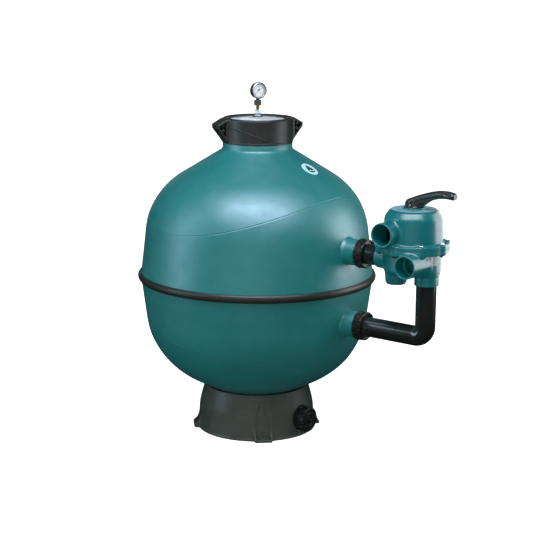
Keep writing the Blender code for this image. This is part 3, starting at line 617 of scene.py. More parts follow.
def shell(name, free, fixed, mirrored, finish):
    """A tank half: free is the curved outer skin from the belt out, fixed closes its outline.

    The skin's rows follow the wave line, which is a shallow ridge with a fine groove on it.
    """
    at, lengths, points = shell_rows(free)
    start, end = lengths[0], lengths[-1]
    verts = []
    for side in range(TANK_SIDES):
        angle = 2 * math.pi * side / TANK_SIDES
        crest = np.interp(wave_height(angle), np.abs(points[:, 1]), lengths)
        near, far = crest + WAVE_OFFSETS[0] / 1000, crest + WAVE_OFFSETS[-1] / 1000
        spots = list(start + (near - start) * np.arange(25) / 25)
        spots += [crest + offset / 1000 for offset in WAVE_OFFSETS]
        spots += list(far + (end - far) * np.arange(1, 26) / 25)
        column = []
        for s in spots:
            radius, height, (out, up) = at(s)
            gap = abs(s - crest)
            lift = RIDGE_HEIGHT * math.exp(-gap / RIDGE_REACH)
            lift *= min(1, (s - start) / RIDGE_FADE, (end - s) / RIDGE_FADE)
            shift = lift - GROOVE_DEPTH * math.exp(-((gap / GROOVE_HALF) ** 4))
            if mirrored:
                out, up = -out, -up
            column.append((radius + out * shift, height + up * shift))
        for radius, height in column + fixed:
            verts.append((radius * math.cos(angle), radius * math.sin(angle), BELT_Z + height))
    count = len(spots) + len(fixed)
    faces = []
    for side in range(TANK_SIDES):
        here, ahead = side * count, (side + 1) % TANK_SIDES * count
        for row in range(count):
            after = (row + 1) % count
            loop = [here + row, ahead + row, ahead + after, here + after]
            faces.append(loop[::-1] if mirrored else loop)
    obj = new_piece(name, verts, faces, finish)
    edit(obj, lambda bm: bmesh.ops.remove_doubles(bm, verts=bm.verts, dist=SAME_POINT))
    return obj


def port_tools(height):
    """A port's flared boss with its thread, and its bore, along +X."""
    place = Matrix.Translation((0, 0, height)) @ along("X")
    boss = [(0, 0.345), (0.0475, 0.345), (0.0462, 0.366, 0.004), (0.0418, 0.3745, 0.008)]
    boss += [(0.0415, 0.4137, 0.0015), (0.0352, 0.4137), (0.0352, 0.415)]
    for low in (0.4152, 0.4189, 0.4226):
        boss += [(0.0352, low), (0.037, low + 0.001), (0.037, low + 0.0018), (0.0352, low + 0.0028)]
    boss += [(0.0352, 0.4265), (0, 0.4265)]
    bore = [(0, 0.32), (0.0255, 0.32), (0.0255, 0.44), (0, 0.44)]
    return turned_data(boss, 96, place), turned_data(bore, 96, place)


def make_tank():
    fixed = rounded([(0.13, 0.4082), (0.114, 0.418, 0.012), (0.114, 0.43)])[1:-1]
    fixed += [(0.114, 0.438), (0.1132, 0.4395), (0.101, 0.4395)]
    for low in (0.442, 0.455, 0.468, 0.481):
        fixed += [(0.101, low), (0.104, low + 0.003), (0.104, low + 0.006), (0.101, low + 0.009)]
    fixed += [(0.101, 0.4962), (0.1002, 0.497), (0.0908, 0.497), (0.09, 0.4962)]
    inside = rounded([(0.09, 0.43), (0.09, 0.4221), (0.3443, 0.2663, 0.236), (0.374, 0.00015)])
    fixed += inside[1:] + [(0.3824, 0.00015), (0.383, 0.0007)]
    upper = shell("tank_top", DOME_OUTLINE, fixed, False, TANK)
    boss, bore = port_tools(UPPER_PORT_Z)
    boolean(upper, "UNION", boss)
    boolean(upper, "DIFFERENCE", bore)
    stands_for(upper, "tank", "tank_teal", "tank_upper_half")

    free = rounded([(0.383, -0.0128), (0.3469, -0.2766, 0.27), (0.123, -0.3908)])
    fixed = [(0.115, -0.3949), (0.114, -0.3965), (0.114, -0.46)]
    fixed += rounded([(0.114, -0.47), (0.114, -0.505, 0.01), (0.0, -0.505)])[1:-1]
    fixed += [(0.0, -0.505), (0.0, -0.496), (0.105, -0.496), (0.105, -0.3898)]
    fixed += rounded([(0.105, -0.3898), (0.3386, -0.2707, 0.261), (0.374, -0.00015)])[1:]
    fixed += [(0.3824, -0.00015), (0.383, -0.0007)]
    lower = shell("tank_bottom", free, fixed, True, TANK)
    boss, bore = port_tools(LOWER_PORT_Z)
    drain = Matrix.Translation((0, 0, DRAIN_Z)) @ along("X")
    spout = [(0, 0.108), (0.033, 0.108), (0.033, 0.2042, 0.0006), (0, 0.205)]
    way = [(0, 0.084), (0.0285, 0.084), (0.0285, 0.215), (0, 0.215)]
    boolean(lower, "UNION", boss, turned_data(spout, 96, drain))
    boolean(lower, "DIFFERENCE", bore, turned_data(way, 96, drain))
    stands_for(lower, "tank", "tank_teal", "tank_lower_half")


def make_belt():
    band = [(0.3834, -0.0125, 0.0006), (0.388, -0.0125, 0.0022), (0.3915, -0.0085, 0.003)]
    band += [(0.394, -0.003, 0.003), (0.394, 0.003, 0.003), (0.3915, 0.0085, 0.003)]
    band += [(0.388, 0.0125, 0.0022), (0.3834, 0.0125, 0.0006)]
    belt = turned("belt", band, BELT, 288, at=(0, 0, BELT_Z))
    stands_for(belt, "tank", "black_plastic", "belt_band")


# ---------------------------------------------------------------- base and drain

LUG_PHASE = math.radians(45)
SKIRT = rounded([
    (0.1955, 0.0), (0.1905, 0.085, 0.15), (0.172, 0.1545), (0.1665, 0.1515),
    (0.185, 0.085, 0.15), (0.19, 0.0),
], arc_length=0.02)
SKIN = rounded([(0.1955, 0.0), (0.1905, 0.085, 0.15), (0.172, 0.1545)], arc_length=0.01)
SKIN_R, SKIN_Z = zip(*SKIN)
LUG_SIDE = [(0.182, 0.0), (0.212, 0.0), (0.212, 0.012), (0.199, 0.023), (0.188, 0.04),
            (0.182, 0.04)]
RIB_SIDE = [(-0.001, 0.0), (0.1925, 0.001), (0.1845, 0.112), (0.115, 0.112), (0.115, 0.0145),
            (-0.001, 0.0145)]
SKIRT_TOP = 0.1495


def arch_outline():
    points = []
    for step in range(17):
        across = math.sin(math.pi / 2 * (step / 8 - 1))
        points.append((0.024 * across, 0.128 * (1 - across ** 2) ** (1 / 3)))
    return points + [(0.024, -0.02), (-0.024, -0.02)]


ARCH = arch_outline()


def base_shape(x, y, z):
    radial = hypot(x, y)
    wall = outline(radial, z, SKIRT, 0.0004)
    out, across = repeated(x, y, 4, LUG_PHASE)
    lug = plate(outline(out, z, LUG_SIDE, 0.0), across, 0.029, 0.003)
    body = join(wall, lug, 0.01)
    skin = np.interp(z, SKIN_Z, SKIN_R)
    sunk = np.maximum(outline(across, z, ARCH), skin - 0.002 - radial)
    body = cut(body, np.maximum(sunk, 0.01 - z), 0.0036)
    bolt = hypot(out - 0.2035, across) - 0.005
    body = cut(body, bolt, 0.0008)
    pocket = rod(z, hypot(out - 0.201, across), 0.0075, 0.03, 0.0085, 0.001)
    body = cut(body, pocket, 0.0015)
    body = np.maximum(body, z - SKIRT_TOP)
    ribs = plate(outline(out, z, RIB_SIDE), across, 0.002, 0.0004)
    hub = rod(z, radial, 0.0, 0.0155, 0.034, 0.001)
    body = join(body, join(ribs, hub, 0.004), 0.003)
    lip = corner_of(radial - 0.1968, np.abs(z - 0.003) - 0.003)
    body = join(body, np.maximum(lip, 0.19 - radial), 0.005)
    gate = hypot(y, z - DRAIN_Z) - 0.0426
    body = cut(body, np.maximum(gate, 0.12 - x), 0.0015)
    return np.maximum(body, -z)


def drain_cap_shape(x, y, z):
    up = z - DRAIN_Z
    radial = hypot(y, up)
    out, across = repeated(y, up, 12)
    barrel = rod(x, radial, 0.187, 0.225, 0.0395, 0.002)
    grips = block(out, across, x, ((0.034, 0.042), (-0.006, 0.006), (0.1885, 0.2225)), 0.0018)
    body = join(barrel, grips, 0.0016)
    collar = rod(x, radial, 0.187, 0.1925, 0.042, 0.0015)
    body = join(body, collar, 0.001)
    dish = rod(x, radial, 0.218, 0.24, 0.015, 0.0012)
    body = cut(body, dish, 0.0012)
    out, across = repeated(y, up, 4, math.radians(20))
    slots = block(out, across, x, ((0.0255, 0.0335), (-0.0065, 0.0065), (0.219, 0.24)), 0.0015)
    body = cut(body, slots, 0.0012)
    rim = corner_of(np.abs(radial - 0.0225) - 0.001, np.abs(x - 0.2245) - 0.0014)
    body = join(body, rim, 0.0012)
    body = cut(body, rod(x, radial, 0.18, 0.2085, 0.0345, 0.0006))
    return cut(body, rod(x, radial, 0.18, 0.24, 0.009, 0.0006))


def drain_plug_shape(x, y, z):
    up = z - DRAIN_Z
    radial = hypot(y, up)
    out, _ = repeated(y, up, 4, math.radians(45))
    head = corner_of(out - 0.0072, np.abs(x - 0.2265) - 0.0068) - 0.0007
    head = np.maximum(head, radial - 0.0096)
    washer = rod(x, radial, 0.2184, 0.2222, 0.0128, 0.0008)
    body = join(join(head, washer, 0.0012), rod(x, radial, 0.21, 0.219, 0.008, 0.0005), 0.001)
    socket = rod(x, radial, 0.229, 0.25, 0.0046, 0.0004)
    return cut(body, socket, 0.0006)


def make_base():
    base = moulded("base_skirt", (-0.213, -0.213, 0), (0.213, 0.213, 0.152), 0.0016,
                   base_shape, BASE)
    stands_for(base, "tank", "black_plastic", "base")
    cap = moulded("drain_knob", (0.187, -0.043, DRAIN_Z - 0.043), (0.225, 0.043, DRAIN_Z + 0.043),
                  0.0009, drain_cap_shape, CAP)
    stands_for(cap, "drain_cap", "black_plastic", "drain_cap")
    plug = moulded("drain_screw", (0.209, -0.014, DRAIN_Z - 0.014), (0.234, 0.014, DRAIN_Z + 0.014),
                   0.0005, drain_plug_shape, CAP)
    stands_for(plug, "drain_plug", "black_plastic", "drain_plug")


# ---------------------------------------------------------------- lock ring, lid and gauge

EAR_ANGLE = math.radians(60)
EAR_SIDE = [(0.1, 0.5185), (0.118, 0.518), (0.1488, 0.5005), (0.1478, 0.488), (0.115, 0.4445),
            (0.1, 0.4445)]
EAR_POCKET = [(0.1195, 0.5075), (0.142, 0.4965), (0.1415, 0.4895), (0.1195, 0.459)]
RING_SIDE = rounded([
    (0.1145, 0.44), (0.1145, 0.52, 0.006), (0.092, 0.5182, 0.003), (0.092, 0.5072),
    (0.1055, 0.5072), (0.1055, 0.44),
], arc_length=0.003)


def lock_ring_shape(x, y, z):
    h = z - BELT_Z
    radial = hypot(x, y)
    body = outline(radial, h, RING_SIDE, 0.0002)
    out, across = repeated(x, y, 2, EAR_ANGLE)
    width = 0.03 + 0.05 * np.clip(0.125 - out, 0, 0.02)
    ear = plate(outline(out, h, EAR_SIDE), across * 0.03 / width, 0.03, 0.0035)
    ear = np.maximum(ear, 0.107 - out)
    body = join(body, ear, 0.007)
    pocket = outline(out, h, EAR_POCKET, 0.0)
    hollow = plate(pocket, np.abs(across) - 0.02, 0.015, 0.0015)
    body = cut(body, hollow, 0.002)
    for peg_h in (0.4995, 0.482):
        peg = rod(across, hypot(out - 0.1285, h - peg_h), -0.0275, 0.0275, 0.0048, 0.0012)
        body = join(body, peg, 0.0012)
    notch = block(out, across, h, ((0.088, 0.1035), (-0.0045, 0.0045), (0.511, 0.53)), 0.0008)
    body = cut(body, notch, 0.001)
    angle = np.degrees(np.arctan2(across, out))
    sweep = np.clip((angle - 18.0) / 74.0, 0, 1)
    height = 0.4945 - 0.0475 * (sweep ** 1.25)
    ridge = hypot(radial - 0.1141, h - height) - 0.0011
    ridge = np.maximum(ridge, np.maximum(18.0 - angle, angle - 92.0) * 0.0015)
    body = join(body, ridge, 0.0022)
    foot = rod(h, radial, 0.44, 0.444, 0.1155, 0.0012)
    body = join(body, np.maximum(foot, 0.107 - radial), 0.003)
    return cut(body, rod(h, radial, 0.4, 0.5072, 0.1055, 0.0004), 0.0006)


def wing_shape(x, y, z):
    h = z - BELT_Z
    radial = hypot(x, y)
    hub = rod(h, radial, 0.5304, 0.536, 0.0085, 0.001)
    reach = np.abs(x)
    arm = block(reach, y, h, ((0.006, 0.0125), (-0.0024, 0.0024), (0.531, 0.5436)), 0.0014)
    body = join(hub, arm, 0.0022)
    collar = rod(h, radial, 0.5304, 0.5415, 0.0052, 0.0006)
    body = join(body, collar, 0.0012)
    return cut(body, radial - 0.0034, 0.0004)


def make_closure():
    ring = moulded("lock_collar", (-0.15, -0.15, BELT_Z + 0.44), (0.15, 0.15, BELT_Z + 0.52),
                   0.0013, lock_ring_shape, BELT)
    stands_for(ring, "lock_ring", "black_plastic", "lock_ring")
    at = (0, 0, BELT_Z)
    lid = [(0.103, 0.501, 0.0006), (0.103, 0.5068, 0.001), (0.0915, 0.5068, 0.0006)]
    lid += [(0.0885, 0.515, 0.004), (0.06, 0.5178), (0.0585, 0.5188), (0.03, 0.5198, 0.004)]
    lid += [(0.024, 0.5203), (0.023, 0.5211), (0.0125, 0.5213, 0.002), (0.0085, 0.529, 0.001)]
    lid += [(0.005, 0.53), (0.0036, 0.53), (0.0036, 0.515), (0.05, 0.5128)]
    lid += [(0.083, 0.508, 0.006), (0.083, 0.501)]
    stands_for(turned("lid_dome", lid, LID_CLEAR, 144, at=at), "lid", "clear_plastic", "lid")
    cone = [(0.017, 0.5206), (0.017, 0.5222, 0.0004), (0.0105, 0.5235, 0.002)]
    cone += [(0.0078, 0.53, 0.0006), (0.005, 0.5302), (0.005, 0.5206)]
    cone = turned("lid_cone", cone, BLACK, 72, at=(0, 0, BELT_Z + 0.0006))
    stands_for(cone, "lid", "black_plastic")
    seal = [(0.0995, 0.4973, 0.0015), (0.0995, 0.5007, 0.0015), (0.0945, 0.5007, 0.0015)]
    seal += [(0.0945, 0.4973, 0.0015)]
    stands_for(turned("lid_seal", seal, RUBBER, 128, at=at), "lid", "seal_rubber", "lid_o_ring")
    wing = moulded("bleed_grip", (-0.013, -0.009, BELT_Z + 0.5304), (0.013, 0.009, BELT_Z + 0.5436),
                   0.0004, wing_shape, WING_CLEAR)
    stands_for(wing, "bleed_wing", "clear_plastic", "bleed_wing")


def dial_point(share, radius, height):
    """A point on the dial, share of the way round its 270 degree scale."""
    angle = math.radians(-45 - 270 * share)
    return Vector((radius * math.cos(angle), radius * math.sin(angle), height))


def strip(points, place, thick):
    """A thin solid bar on the dial over a loop of points."""
    verts = [place @ Vector((p.x, p.y, p.z)) for p in points]
    verts += [place @ Vector((p.x, p.y, p.z + thick)) for p in points]
    count = len(points)
    faces = [list(range(count))[::-1], list(range(count, 2 * count))]
    for k in range(count):
        ahead = (k + 1) % count
        faces.append([k, ahead, count + ahead, count + k])
    return verts, faces


def merged(name, parts, finish, sharp=SHARP_DEGREES):
    """One object from several closed (verts, faces)."""
    verts, faces = [], []
    for part_verts, part_faces in parts:
        start = len(verts)
        verts += part_verts
        faces += [[start + k for k in face] for face in part_faces]
    obj = new_piece(name, verts, faces, finish, sharp)
    edit(obj, lambda bm: bmesh.ops.recalc_face_normals(bm, faces=bm.faces))
    return obj


def figure(text, size, centre, place, thick):
    """The solid of a short printed number, upright on the dial."""
    curve = bpy.data.curves.new("figure", "FONT")
    curve.body = text
    curve.size = size
    curve.align_x, curve.align_y = "CENTER", "CENTER"
    curve.extrude = thick / 2
    curve.resolution_u = 3
    holder = linked("figure", curve)
    mesh = evaluated_mesh(holder)
    upright = Matrix(((0, -1, 0, 0), (1, 0, 0, 0), (0, 0, 1, 0), (0, 0, 0, 1)))
    place = place @ Matrix.Translation(centre) @ upright
    verts = [place @ vertex.co for vertex in mesh.vertices]
    faces = [list(polygon.vertices) for polygon in mesh.polygons]
    bpy.data.objects.remove(holder, do_unlink=True)
    return verts, faces


DIAL_TOP = 0.00402
INK_THICK = 0.0001


def knurl_shape(x, y, z):
    h = z - BELT_Z
    radial = hypot(x, y)
    out, across = repeated(x, y, 16)
    body = rod(h, radial, 0.5583, 0.575, 0.0118, 0.0012)
    flute = hypot(out - 0.0129, across) - 0.0014
    body = cut(body, np.maximum(flute, np.abs(h - 0.5668) - 0.0062), 0.0006)
    return cut(body, radial - 0.0045, 0.0004)


def make_gauge():
    place = Matrix.Translation((0, 0, GAUGE_Z)) @ Matrix.Rotation(GAUGE_FACING, 4, "Z") @ along("X")
    stem = [(0.0, 0.51), (0.0025, 0.51), (0.0025, 0.544), (0.005, 0.544)]
    stem += [(0.0062, 0.5452, 0.0005), (0.0065, 0.55, 0.0006), (0.0052, 0.551)]
    stem += [(0.0052, 0.552), (0.0062, 0.5528), (0.0058, 0.5575), (0.0052, 0.558)]
    stem += [(0.004, 0.558), (0.004, 0.5655), (0, 0.5655)]
    obj = turned("gauge_spigot", stem, BRASS, 64, at=(0, 0, BELT_Z))
    stands_for(obj, "lid", "brass", "gauge_stem")
    low, high = (-0.0125, -0.0125, BELT_Z + 0.5583), (0.0125, 0.0125, BELT_Z + 0.575)
    obj = moulded("gauge_knurl", low, high, 0.0005, knurl_shape, BLACK)
    stands_for(obj, "lid", "black_plastic", "gauge_nut")

    case = [(0, -0.0085), (0.0255, -0.0085, 0.0035), (0.0255, 0.0105, 0.0004), (0.0235, 0.0105)]
    case += [(0.0235, -0.0055, 0.002), (0, -0.0055)]
    obj = turned("gauge_can", case, BLACK, 96, place=place)
    foot = [(0, -0.04), (0.004, -0.04), (0.004, -0.032), (0.0055, -0.0315)]
    foot += [(0.006, -0.024), (0, -0.024)]
    boolean(obj, "UNION", turned_data(foot, 48, Matrix.Translation((0, 0, GAUGE_Z))))
    stands_for(obj, "lid", "black_plastic", "gauge_case")
    bezel = [(0.0267, 0.006, 0.0005), (0.0267, 0.0122, 0.0016), (0.025, 0.0135, 0.0012)]
    bezel += [(0.0228, 0.0128, 0.0006), (0.0225, 0.0108), (0.0258, 0.0108), (0.0258, 0.006)]
    stands_for(turned("gauge_rim", bezel, STEEL, 96, place=place), "lid", "steel", "gauge_bezel")
    glass = [(0, 0.0084), (0.0231, 0.008), (0.0231, 0.01, 0.0004), (0.02, 0.0103), (0, 0.0107)]
    obj = turned("gauge_glass", glass, WINDOW_CLEAR, 96, place=place)
    stands_for(obj, "lid", "clear_plastic", "gauge_window")
    card = [(0, 0.003), (0.0231, 0.003), (0.0231, 0.004, 0.0003), (0, 0.004)]
    obj = turned("gauge_card", card, PAPER, 96, place=place)
    stands_for(obj, "lid", "dial_white", "gauge_dial")

    marks = []
    for tick in range(41):
        share = tick / 40
        inner, half = (0.015, 0.00045) if tick % 10 == 0 else (0.0172, 0.00022)
        if tick % 10 == 5:
            inner = 0.0162
        a, b = dial_point(share, inner, DIAL_TOP), dial_point(share, 0.0195, DIAL_TOP)
        side = (b - a).normalized().cross(Vector((0, 0, 1))) * half
        marks.append(strip([a - side, b - side, b + side, a + side], place, INK_THICK))
    arc = [dial_point(k / 48, 0.0201, DIAL_TOP) for k in range(49)]
    arc += [dial_point(k / 48, 0.0195, DIAL_TOP) for k in range(48, -1, -1)]
    marks.append(strip(arc, place, INK_THICK))
    for number in range(5):
        centre = dial_point(number / 4, 0.0118, DIAL_TOP + INK_THICK / 2)
        marks.append(figure(str(number), 0.0052, centre, place, INK_THICK))
    obj = merged("dial_scale", marks, INK, None)
    stands_for(obj, "lid", "black_plastic")

    reach = dial_point(0, 1, 0)
    side = Vector((-reach.y, reach.x, 0))
    lift = Vector((0, 0, 0.0052))
    taper = ((-0.008, 0.0016), (-0.0035, 0.0019), (-0.003, 0.00055), (0.0175, 0.0002))
    loop = [lift + reach * far - side * wide for far, wide in taper]
    loop += [lift + reach * far + side * wide for far, wide in taper[::-1]]
    hub = [(0, 0.0044), (0.0022, 0.0044), (0.0022, 0.0068, 0.0005), (0, 0.007)]
    parts = [strip(loop, place, 0.0007), turned_data(hub, 24, place)]
    obj = merged("gauge_pointer", parts, INK)
    stands_for(obj, "gauge_needle", "black_plastic", "gauge_needle")


# ---------------------------------------------------------------- water ways inside the tank

BOX_FACES = [[0, 1, 3, 2], [4, 6, 7, 5], [0, 4, 5, 1], [2, 3, 7, 6], [0, 2, 6, 4], [1, 5, 7, 3]]


def make_inside():
    at = (0, 0, BELT_Z)
    basket = [(0.045, 0.29, 0.002), (0.045, 0.37, 0.01), (0.012, 0.37), (0.0105, 0.368)]
    basket += [(0, 0.368), (0, 0.366), (0.041, 0.366), (0.041, 0.295), (0.026, 0.295)]
    basket += [(0.026, 0.29)]
    obj = turned("diffuser_cage", basket, WHITE, 96, at=at)
    slots = []
    for row, way in itertools.product(range(5), range(6)):
        low = BELT_Z + 0.302 + row * 0.0115
        turn = Matrix.Rotation(math.radians(30 * way), 4, "Z")
        corners = itertools.product((-0.06, 0.06), (-0.0075, 0.0075), (low, low + 0.006))
        slots.append(([turn @ Vector(corner) for corner in corners], BOX_FACES))
    boolean(obj, "DIFFERENCE", *slots)
    stands_for(obj, "tank", "white_plastic", "diffuser")
    laterals = [f"lateral_{index + 1}" for index in range(8)]
    for name in ["inlet_pipe", "outlet_pipe", "collector_hub", "drain_strainer"] + laterals:
        repaint(name, WHITE)


def repaint(node, finish):
    """A better material on a CAD node that is shown as it is."""
    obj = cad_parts[node]
    if not obj.material_slots:
        obj.data.materials.append(finish)
    for slot in obj.material_slots:
        slot.material = finish


# ---------------------------------------------------------------- unions and pipes

def nut_shape(height):
    near, far = NUT_X

    def shape(x, y, z):
        up = z - height
        radial = hypot(y, up)
        body = rod(x, radial, near, far, 0.0436, 0.0015)
        out, across = repeated(y, up, 14)
        spans = (0.04, 0.0464), (-0.0068, 0.0068), (near + 0.0006, near + 0.013)
        rear = block(out, across, x, spans, 0.0012)
        out, across = repeated(y, up, 14, math.pi / 14)
        spans = (0.04, 0.0459), (-0.0062, 0.0062), (near + 0.0148, far - 0.0022)
        front = block(out, across, x, spans, 0.0012)
        body = join(body, np.minimum(rear, front), 0.001)
        ring = rod(x, radial, near, near + 0.0034, 0.0462, 0.001)
        body = join(body, ring, 0.0008)
        mouth = corner_of(radial - 0.0405, far - 0.0062 - x)
        body = cut(body, mouth, 0.001)
        body = cut(body, corner_of(radial - 0.0386, x - (far - 0.0094)), 0.0006)
        return cut(body, radial - 0.033, 0.0006)

    return shape


def make_unions():
    near, far = NUT_X
    for prefix, height in (("upper", UPPER_PORT_Z), ("lower", LOWER_PORT_Z)):
        low, high = (near, -0.047, height - 0.047), (far, 0.047, height + 0.047)
        nut = moulded(f"{prefix}_collar_nut", low, high, 0.0008, nut_shape(height), CAP)
        stands_for(nut, f"{prefix}_union_nut", "black_plastic", f"{prefix}_union_nut")
        seal = [(0.036, 0.4268, 0.0008), (0.036, 0.4292, 0.0008), (0.0275, 0.4292, 0.0008)]
        seal += [(0.0275, 0.4268, 0.0008)]
        obj = turned(f"{prefix}_port_seal", seal, RUBBER, 96, "X", (0, 0, height))
        stands_for(obj, "tank", "seal_rubber", f"{prefix}_union_seal")
    stub = [(0.0365, 0.4295, 0.0004), (0.0365, 0.433, 0.0006), (0.0315, 0.4332)]
    stub += [(0.0315, 0.505, 0.0006), (0.0265, 0.505, 0.0006), (0.0265, 0.4295, 0.0006)]
    obj = turned("stub_pipe", stub, PIPE, 96, "X", (0, 0, UPPER_PORT_Z))
    stands_for(obj, "tank", "black_pipe", "upper_stub_pipe")

    bend = 0.0345
    top = BELT_Z + 0.075
    centre = Vector((DROP_X - bend, 0, LOWER_PORT_Z + bend))
    start, end = Vector((0.4295, 0, LOWER_PORT_Z)), Vector((DROP_X, 0, top))
    route = [start, start + Vector((0.0008, 0, 0))]
    for step in range(1, 12):
        route.append(start + Vector((centre.x - start.x, 0, 0)) * step / 12)
    for step in range(25):
        angle = math.pi / 2 * step / 24
        route.append(centre + Vector((math.sin(angle), 0, -math.cos(angle))) * bend)
    for step in range(1, 13):
        route.append(Vector((DROP_X, 0, centre.z)).lerp(end, step / 12))
    pipe = swept("drop_pipe", route, (PIPE_OUTER, PIPE_INNER), PIPE, 72)
    collar = [(0.03, 0.4296), (0.0365, 0.4296), (0.0365, 0.433, 0.0006), (0.03, 0.4333)]
    place = Matrix.Translation((0, 0, LOWER_PORT_Z)) @ along("X")
    boolean(pipe, "UNION", turned_data(collar, 96, place))
    stands_for(pipe, "tank", "black_pipe", "lower_pipe")


# ---------------------------------------------------------------- multiport valve

BOLT_OFFSETS = [(x - VALVE_X, y) for x, y, _ in BOLTS]
BOLT_R = math.hypot(*BOLT_OFFSETS[0])
RETURN_X, RETURN_H = 0.657 - VALVE_X, 0.128
PUMP_X = 0.577 - VALVE_X
SIDE_H = UPPER_PORT_Z - BELT_Z
BOWL = rounded([(0, 0.088), (0.0885, 0.088, 0.014), (0.0885, 0.16), (0, 0.16)])
BOWL_ROOM = rounded([(0, 0.0965), (0.0745, 0.0965, 0.006), (0.0745, 0.15), (0.0815, 0.15),
                     (0.0815, 0.19), (0, 0.19)])
DOME = rounded([(0, 0.18), (0.0925, 0.18), (0.0888, 0.26, 0.03), (0.0735, 0.283, 0.014),
                (0, 0.283)])
DOME_ROOM = rounded([(0, 0.16), (0.0815, 0.16), (0.0815, 0.244, 0.03), (0.068, 0.273),
                     (0, 0.273)])


def flange(u, v, h, low, high, reach):
    """The bolted ring with a lobe round every bolt."""
    radial = hypot(u, v)
    out, across = repeated(u, v, 8)
    disc = rod(h, radial, low, high, reach, 0.0024)
    lobe = rod(h, hypot(out - BOLT_R, across), low, high, 0.0124, 0.002)
    return join(disc, lobe, 0.012)


def valve_body_shape(x, y, z):
    u, v, h = x - VALVE_X, y, z - BELT_Z
    radial = hypot(u, v)
    body = join(outline(radial, h, BOWL), flange(u, v, h, 0.1552, 0.173, 0.112), 0.007)
    out, across = repeated(u, v, 8)
    side_far, front_far = hypot(v, h - SIDE_H), hypot(u - RETURN_X, h - RETURN_H)
    body = join(body, rod(u, side_far, 0.485 - VALVE_X, -0.04, 0.036, 0.0012), 0.01)
    body = join(body, rod(v, front_far, -0.129, -0.03, 0.036, 0.0012), 0.011)
    drop = hypot(u - (DROP_X - VALVE_X), v)
    body = join(body, rod(h, drop, 0.085, 0.12, 0.04, 0.0012), 0.008)
    body = join(body, rod(h, drop, 0.054, 0.1, 0.0375, 0.001), 0.0015)
    waste = hypot(u - (WASTE_X - VALVE_X), v)
    cone = 0.033 + 0.08 * np.clip(h - 0.05, 0, 0.05)
    body = join(body, rod(h, waste / cone * 0.033, 0.048, 0.11, 0.033, 0.003), 0.014)
    body = cut(body, outline(radial, h, BOWL_ROOM), 0.001)
    wall = block(u - RETURN_X, v, h, ((-0.04, 0.04), (-0.062, -0.058), (0.09, 0.15)), 0.001)
    body = join(body, np.maximum(wall, radial - 0.08), 0.002)
    for axial, far, low, high, bore in (
        (u, side_far, 0.46 - VALVE_X, 0.5055 - VALVE_X, SOCKET_R),
        (u, side_far, 0.48 - VALVE_X, -0.05, 0.0215),
        (v, front_far, -0.16, -0.085, SOCKET_R),
        (v, front_far, -0.14, -0.0625, PIPE_INNER),
        (h, drop, 0.03, 0.0755, SOCKET_R),
        (h, drop, 0.05, 0.12, 0.023),
        (h, waste, 0.03, 0.12, 0.0225),
    ):
        body = cut(body, rod(axial, far, low, high, bore, 0.0005), 0.0014)
    hole = rod(h, hypot(out - BOLT_R, across), 0.13, 0.2, 0.0045, 0.0003)
    body = cut(body, hole, 0.0006)
    return np.maximum(body, np.where(radial < 0.0985, h - 0.168, h - 0.1703))


def valve_cover_shape(x, y, z):
    u, v, h = x - VALVE_X, y, z - BELT_Z
    radial = hypot(u, v)
    body = join(outline(radial, h, DOME), flange(u, v, h, 0.168, 0.1832, 0.112), 0.006)
    port_radial = hypot(u - PUMP_X, h - 0.217)
    port = rod(v, port_radial, -0.135, -0.02, 0.0375, 0.0014)
    body = join(body, port, 0.011)
    out, across = repeated(u, v, 8)
    seat = rod(h, hypot(out - BOLT_R, across), 0.176, 0.1839, 0.0115, 0.0012)
    body = join(body, seat, 0.0025)
    ring = corner_of(np.abs(radial - 0.0315) - 0.0022, np.abs(h - 0.284) - 0.0042) - 0.0008
    body = join(body, np.maximum(ring, 0.28 - h), 0.0014)
    body = cut(body, outline(radial, h, DOME_ROOM), 0.001)
    bore = rod(v, port_radial, -0.16, -0.03, SOCKET_R, 0.0005)
    body = cut(body, bore, 0.002)
    body = cut(body, rod(h, radial, 0.25, 0.3, 0.0105, 0.0004), 0.0006)
    hole = rod(h, hypot(out - BOLT_R, across), 0.15, 0.2, 0.0045, 0.0003)
    body = cut(body, hole, 0.0006)
    body = np.maximum(body, 0.171 - h)
    spot_u, spot_v = BOLT_OFFSETS[3]
    spot = rod(h, hypot(u - spot_u, v - spot_v), 0.1837, 0.1915, 0.01, 0.0005)
    return cut(body, spot, 0.0006)


def bolt_parts(x, y):
    """A hex head on a washer face, with its shank, as one outline of stacked rings."""
    rings = [(0.0, 0.1465, 0), (0.0036, 0.1467, 0), (0.0038, 0.148, 0), (0.007, 0.1488, 1)]
    rings += [(0.0074, 0.1495, 1), (0.0074, 0.1546, 1), (0.0038, 0.1549, 0)]
    rings += [(0.0038, 0.1843, 0), (0.0075, 0.1843, 0)]
    rings += [(0.0075, 0.185, 0), (0.0072, 0.1852, 1), (0.0072, 0.1885, 1), (0.0062, 0.1894, 1)]
    rings += [(0.003, 0.1895, 0), (0.0, 0.1888, 0)]
    verts, loops = [], []
    for radius, height, hexed in rings:
        def point(angle):
            sixth = (angle + math.pi / 6) % (math.pi / 3) - math.pi / 6
            flat = radius * math.cos(math.pi / 6) / math.cos(sixth)
            reach = min(radius, flat) if hexed else radius
            return x + reach * math.cos(angle), y + reach * math.sin(angle), BELT_Z + height

        add_ring(verts, loops, 1 if radius == 0.0 else 48, point)
    return verts, ring_faces(loops, closed=False)


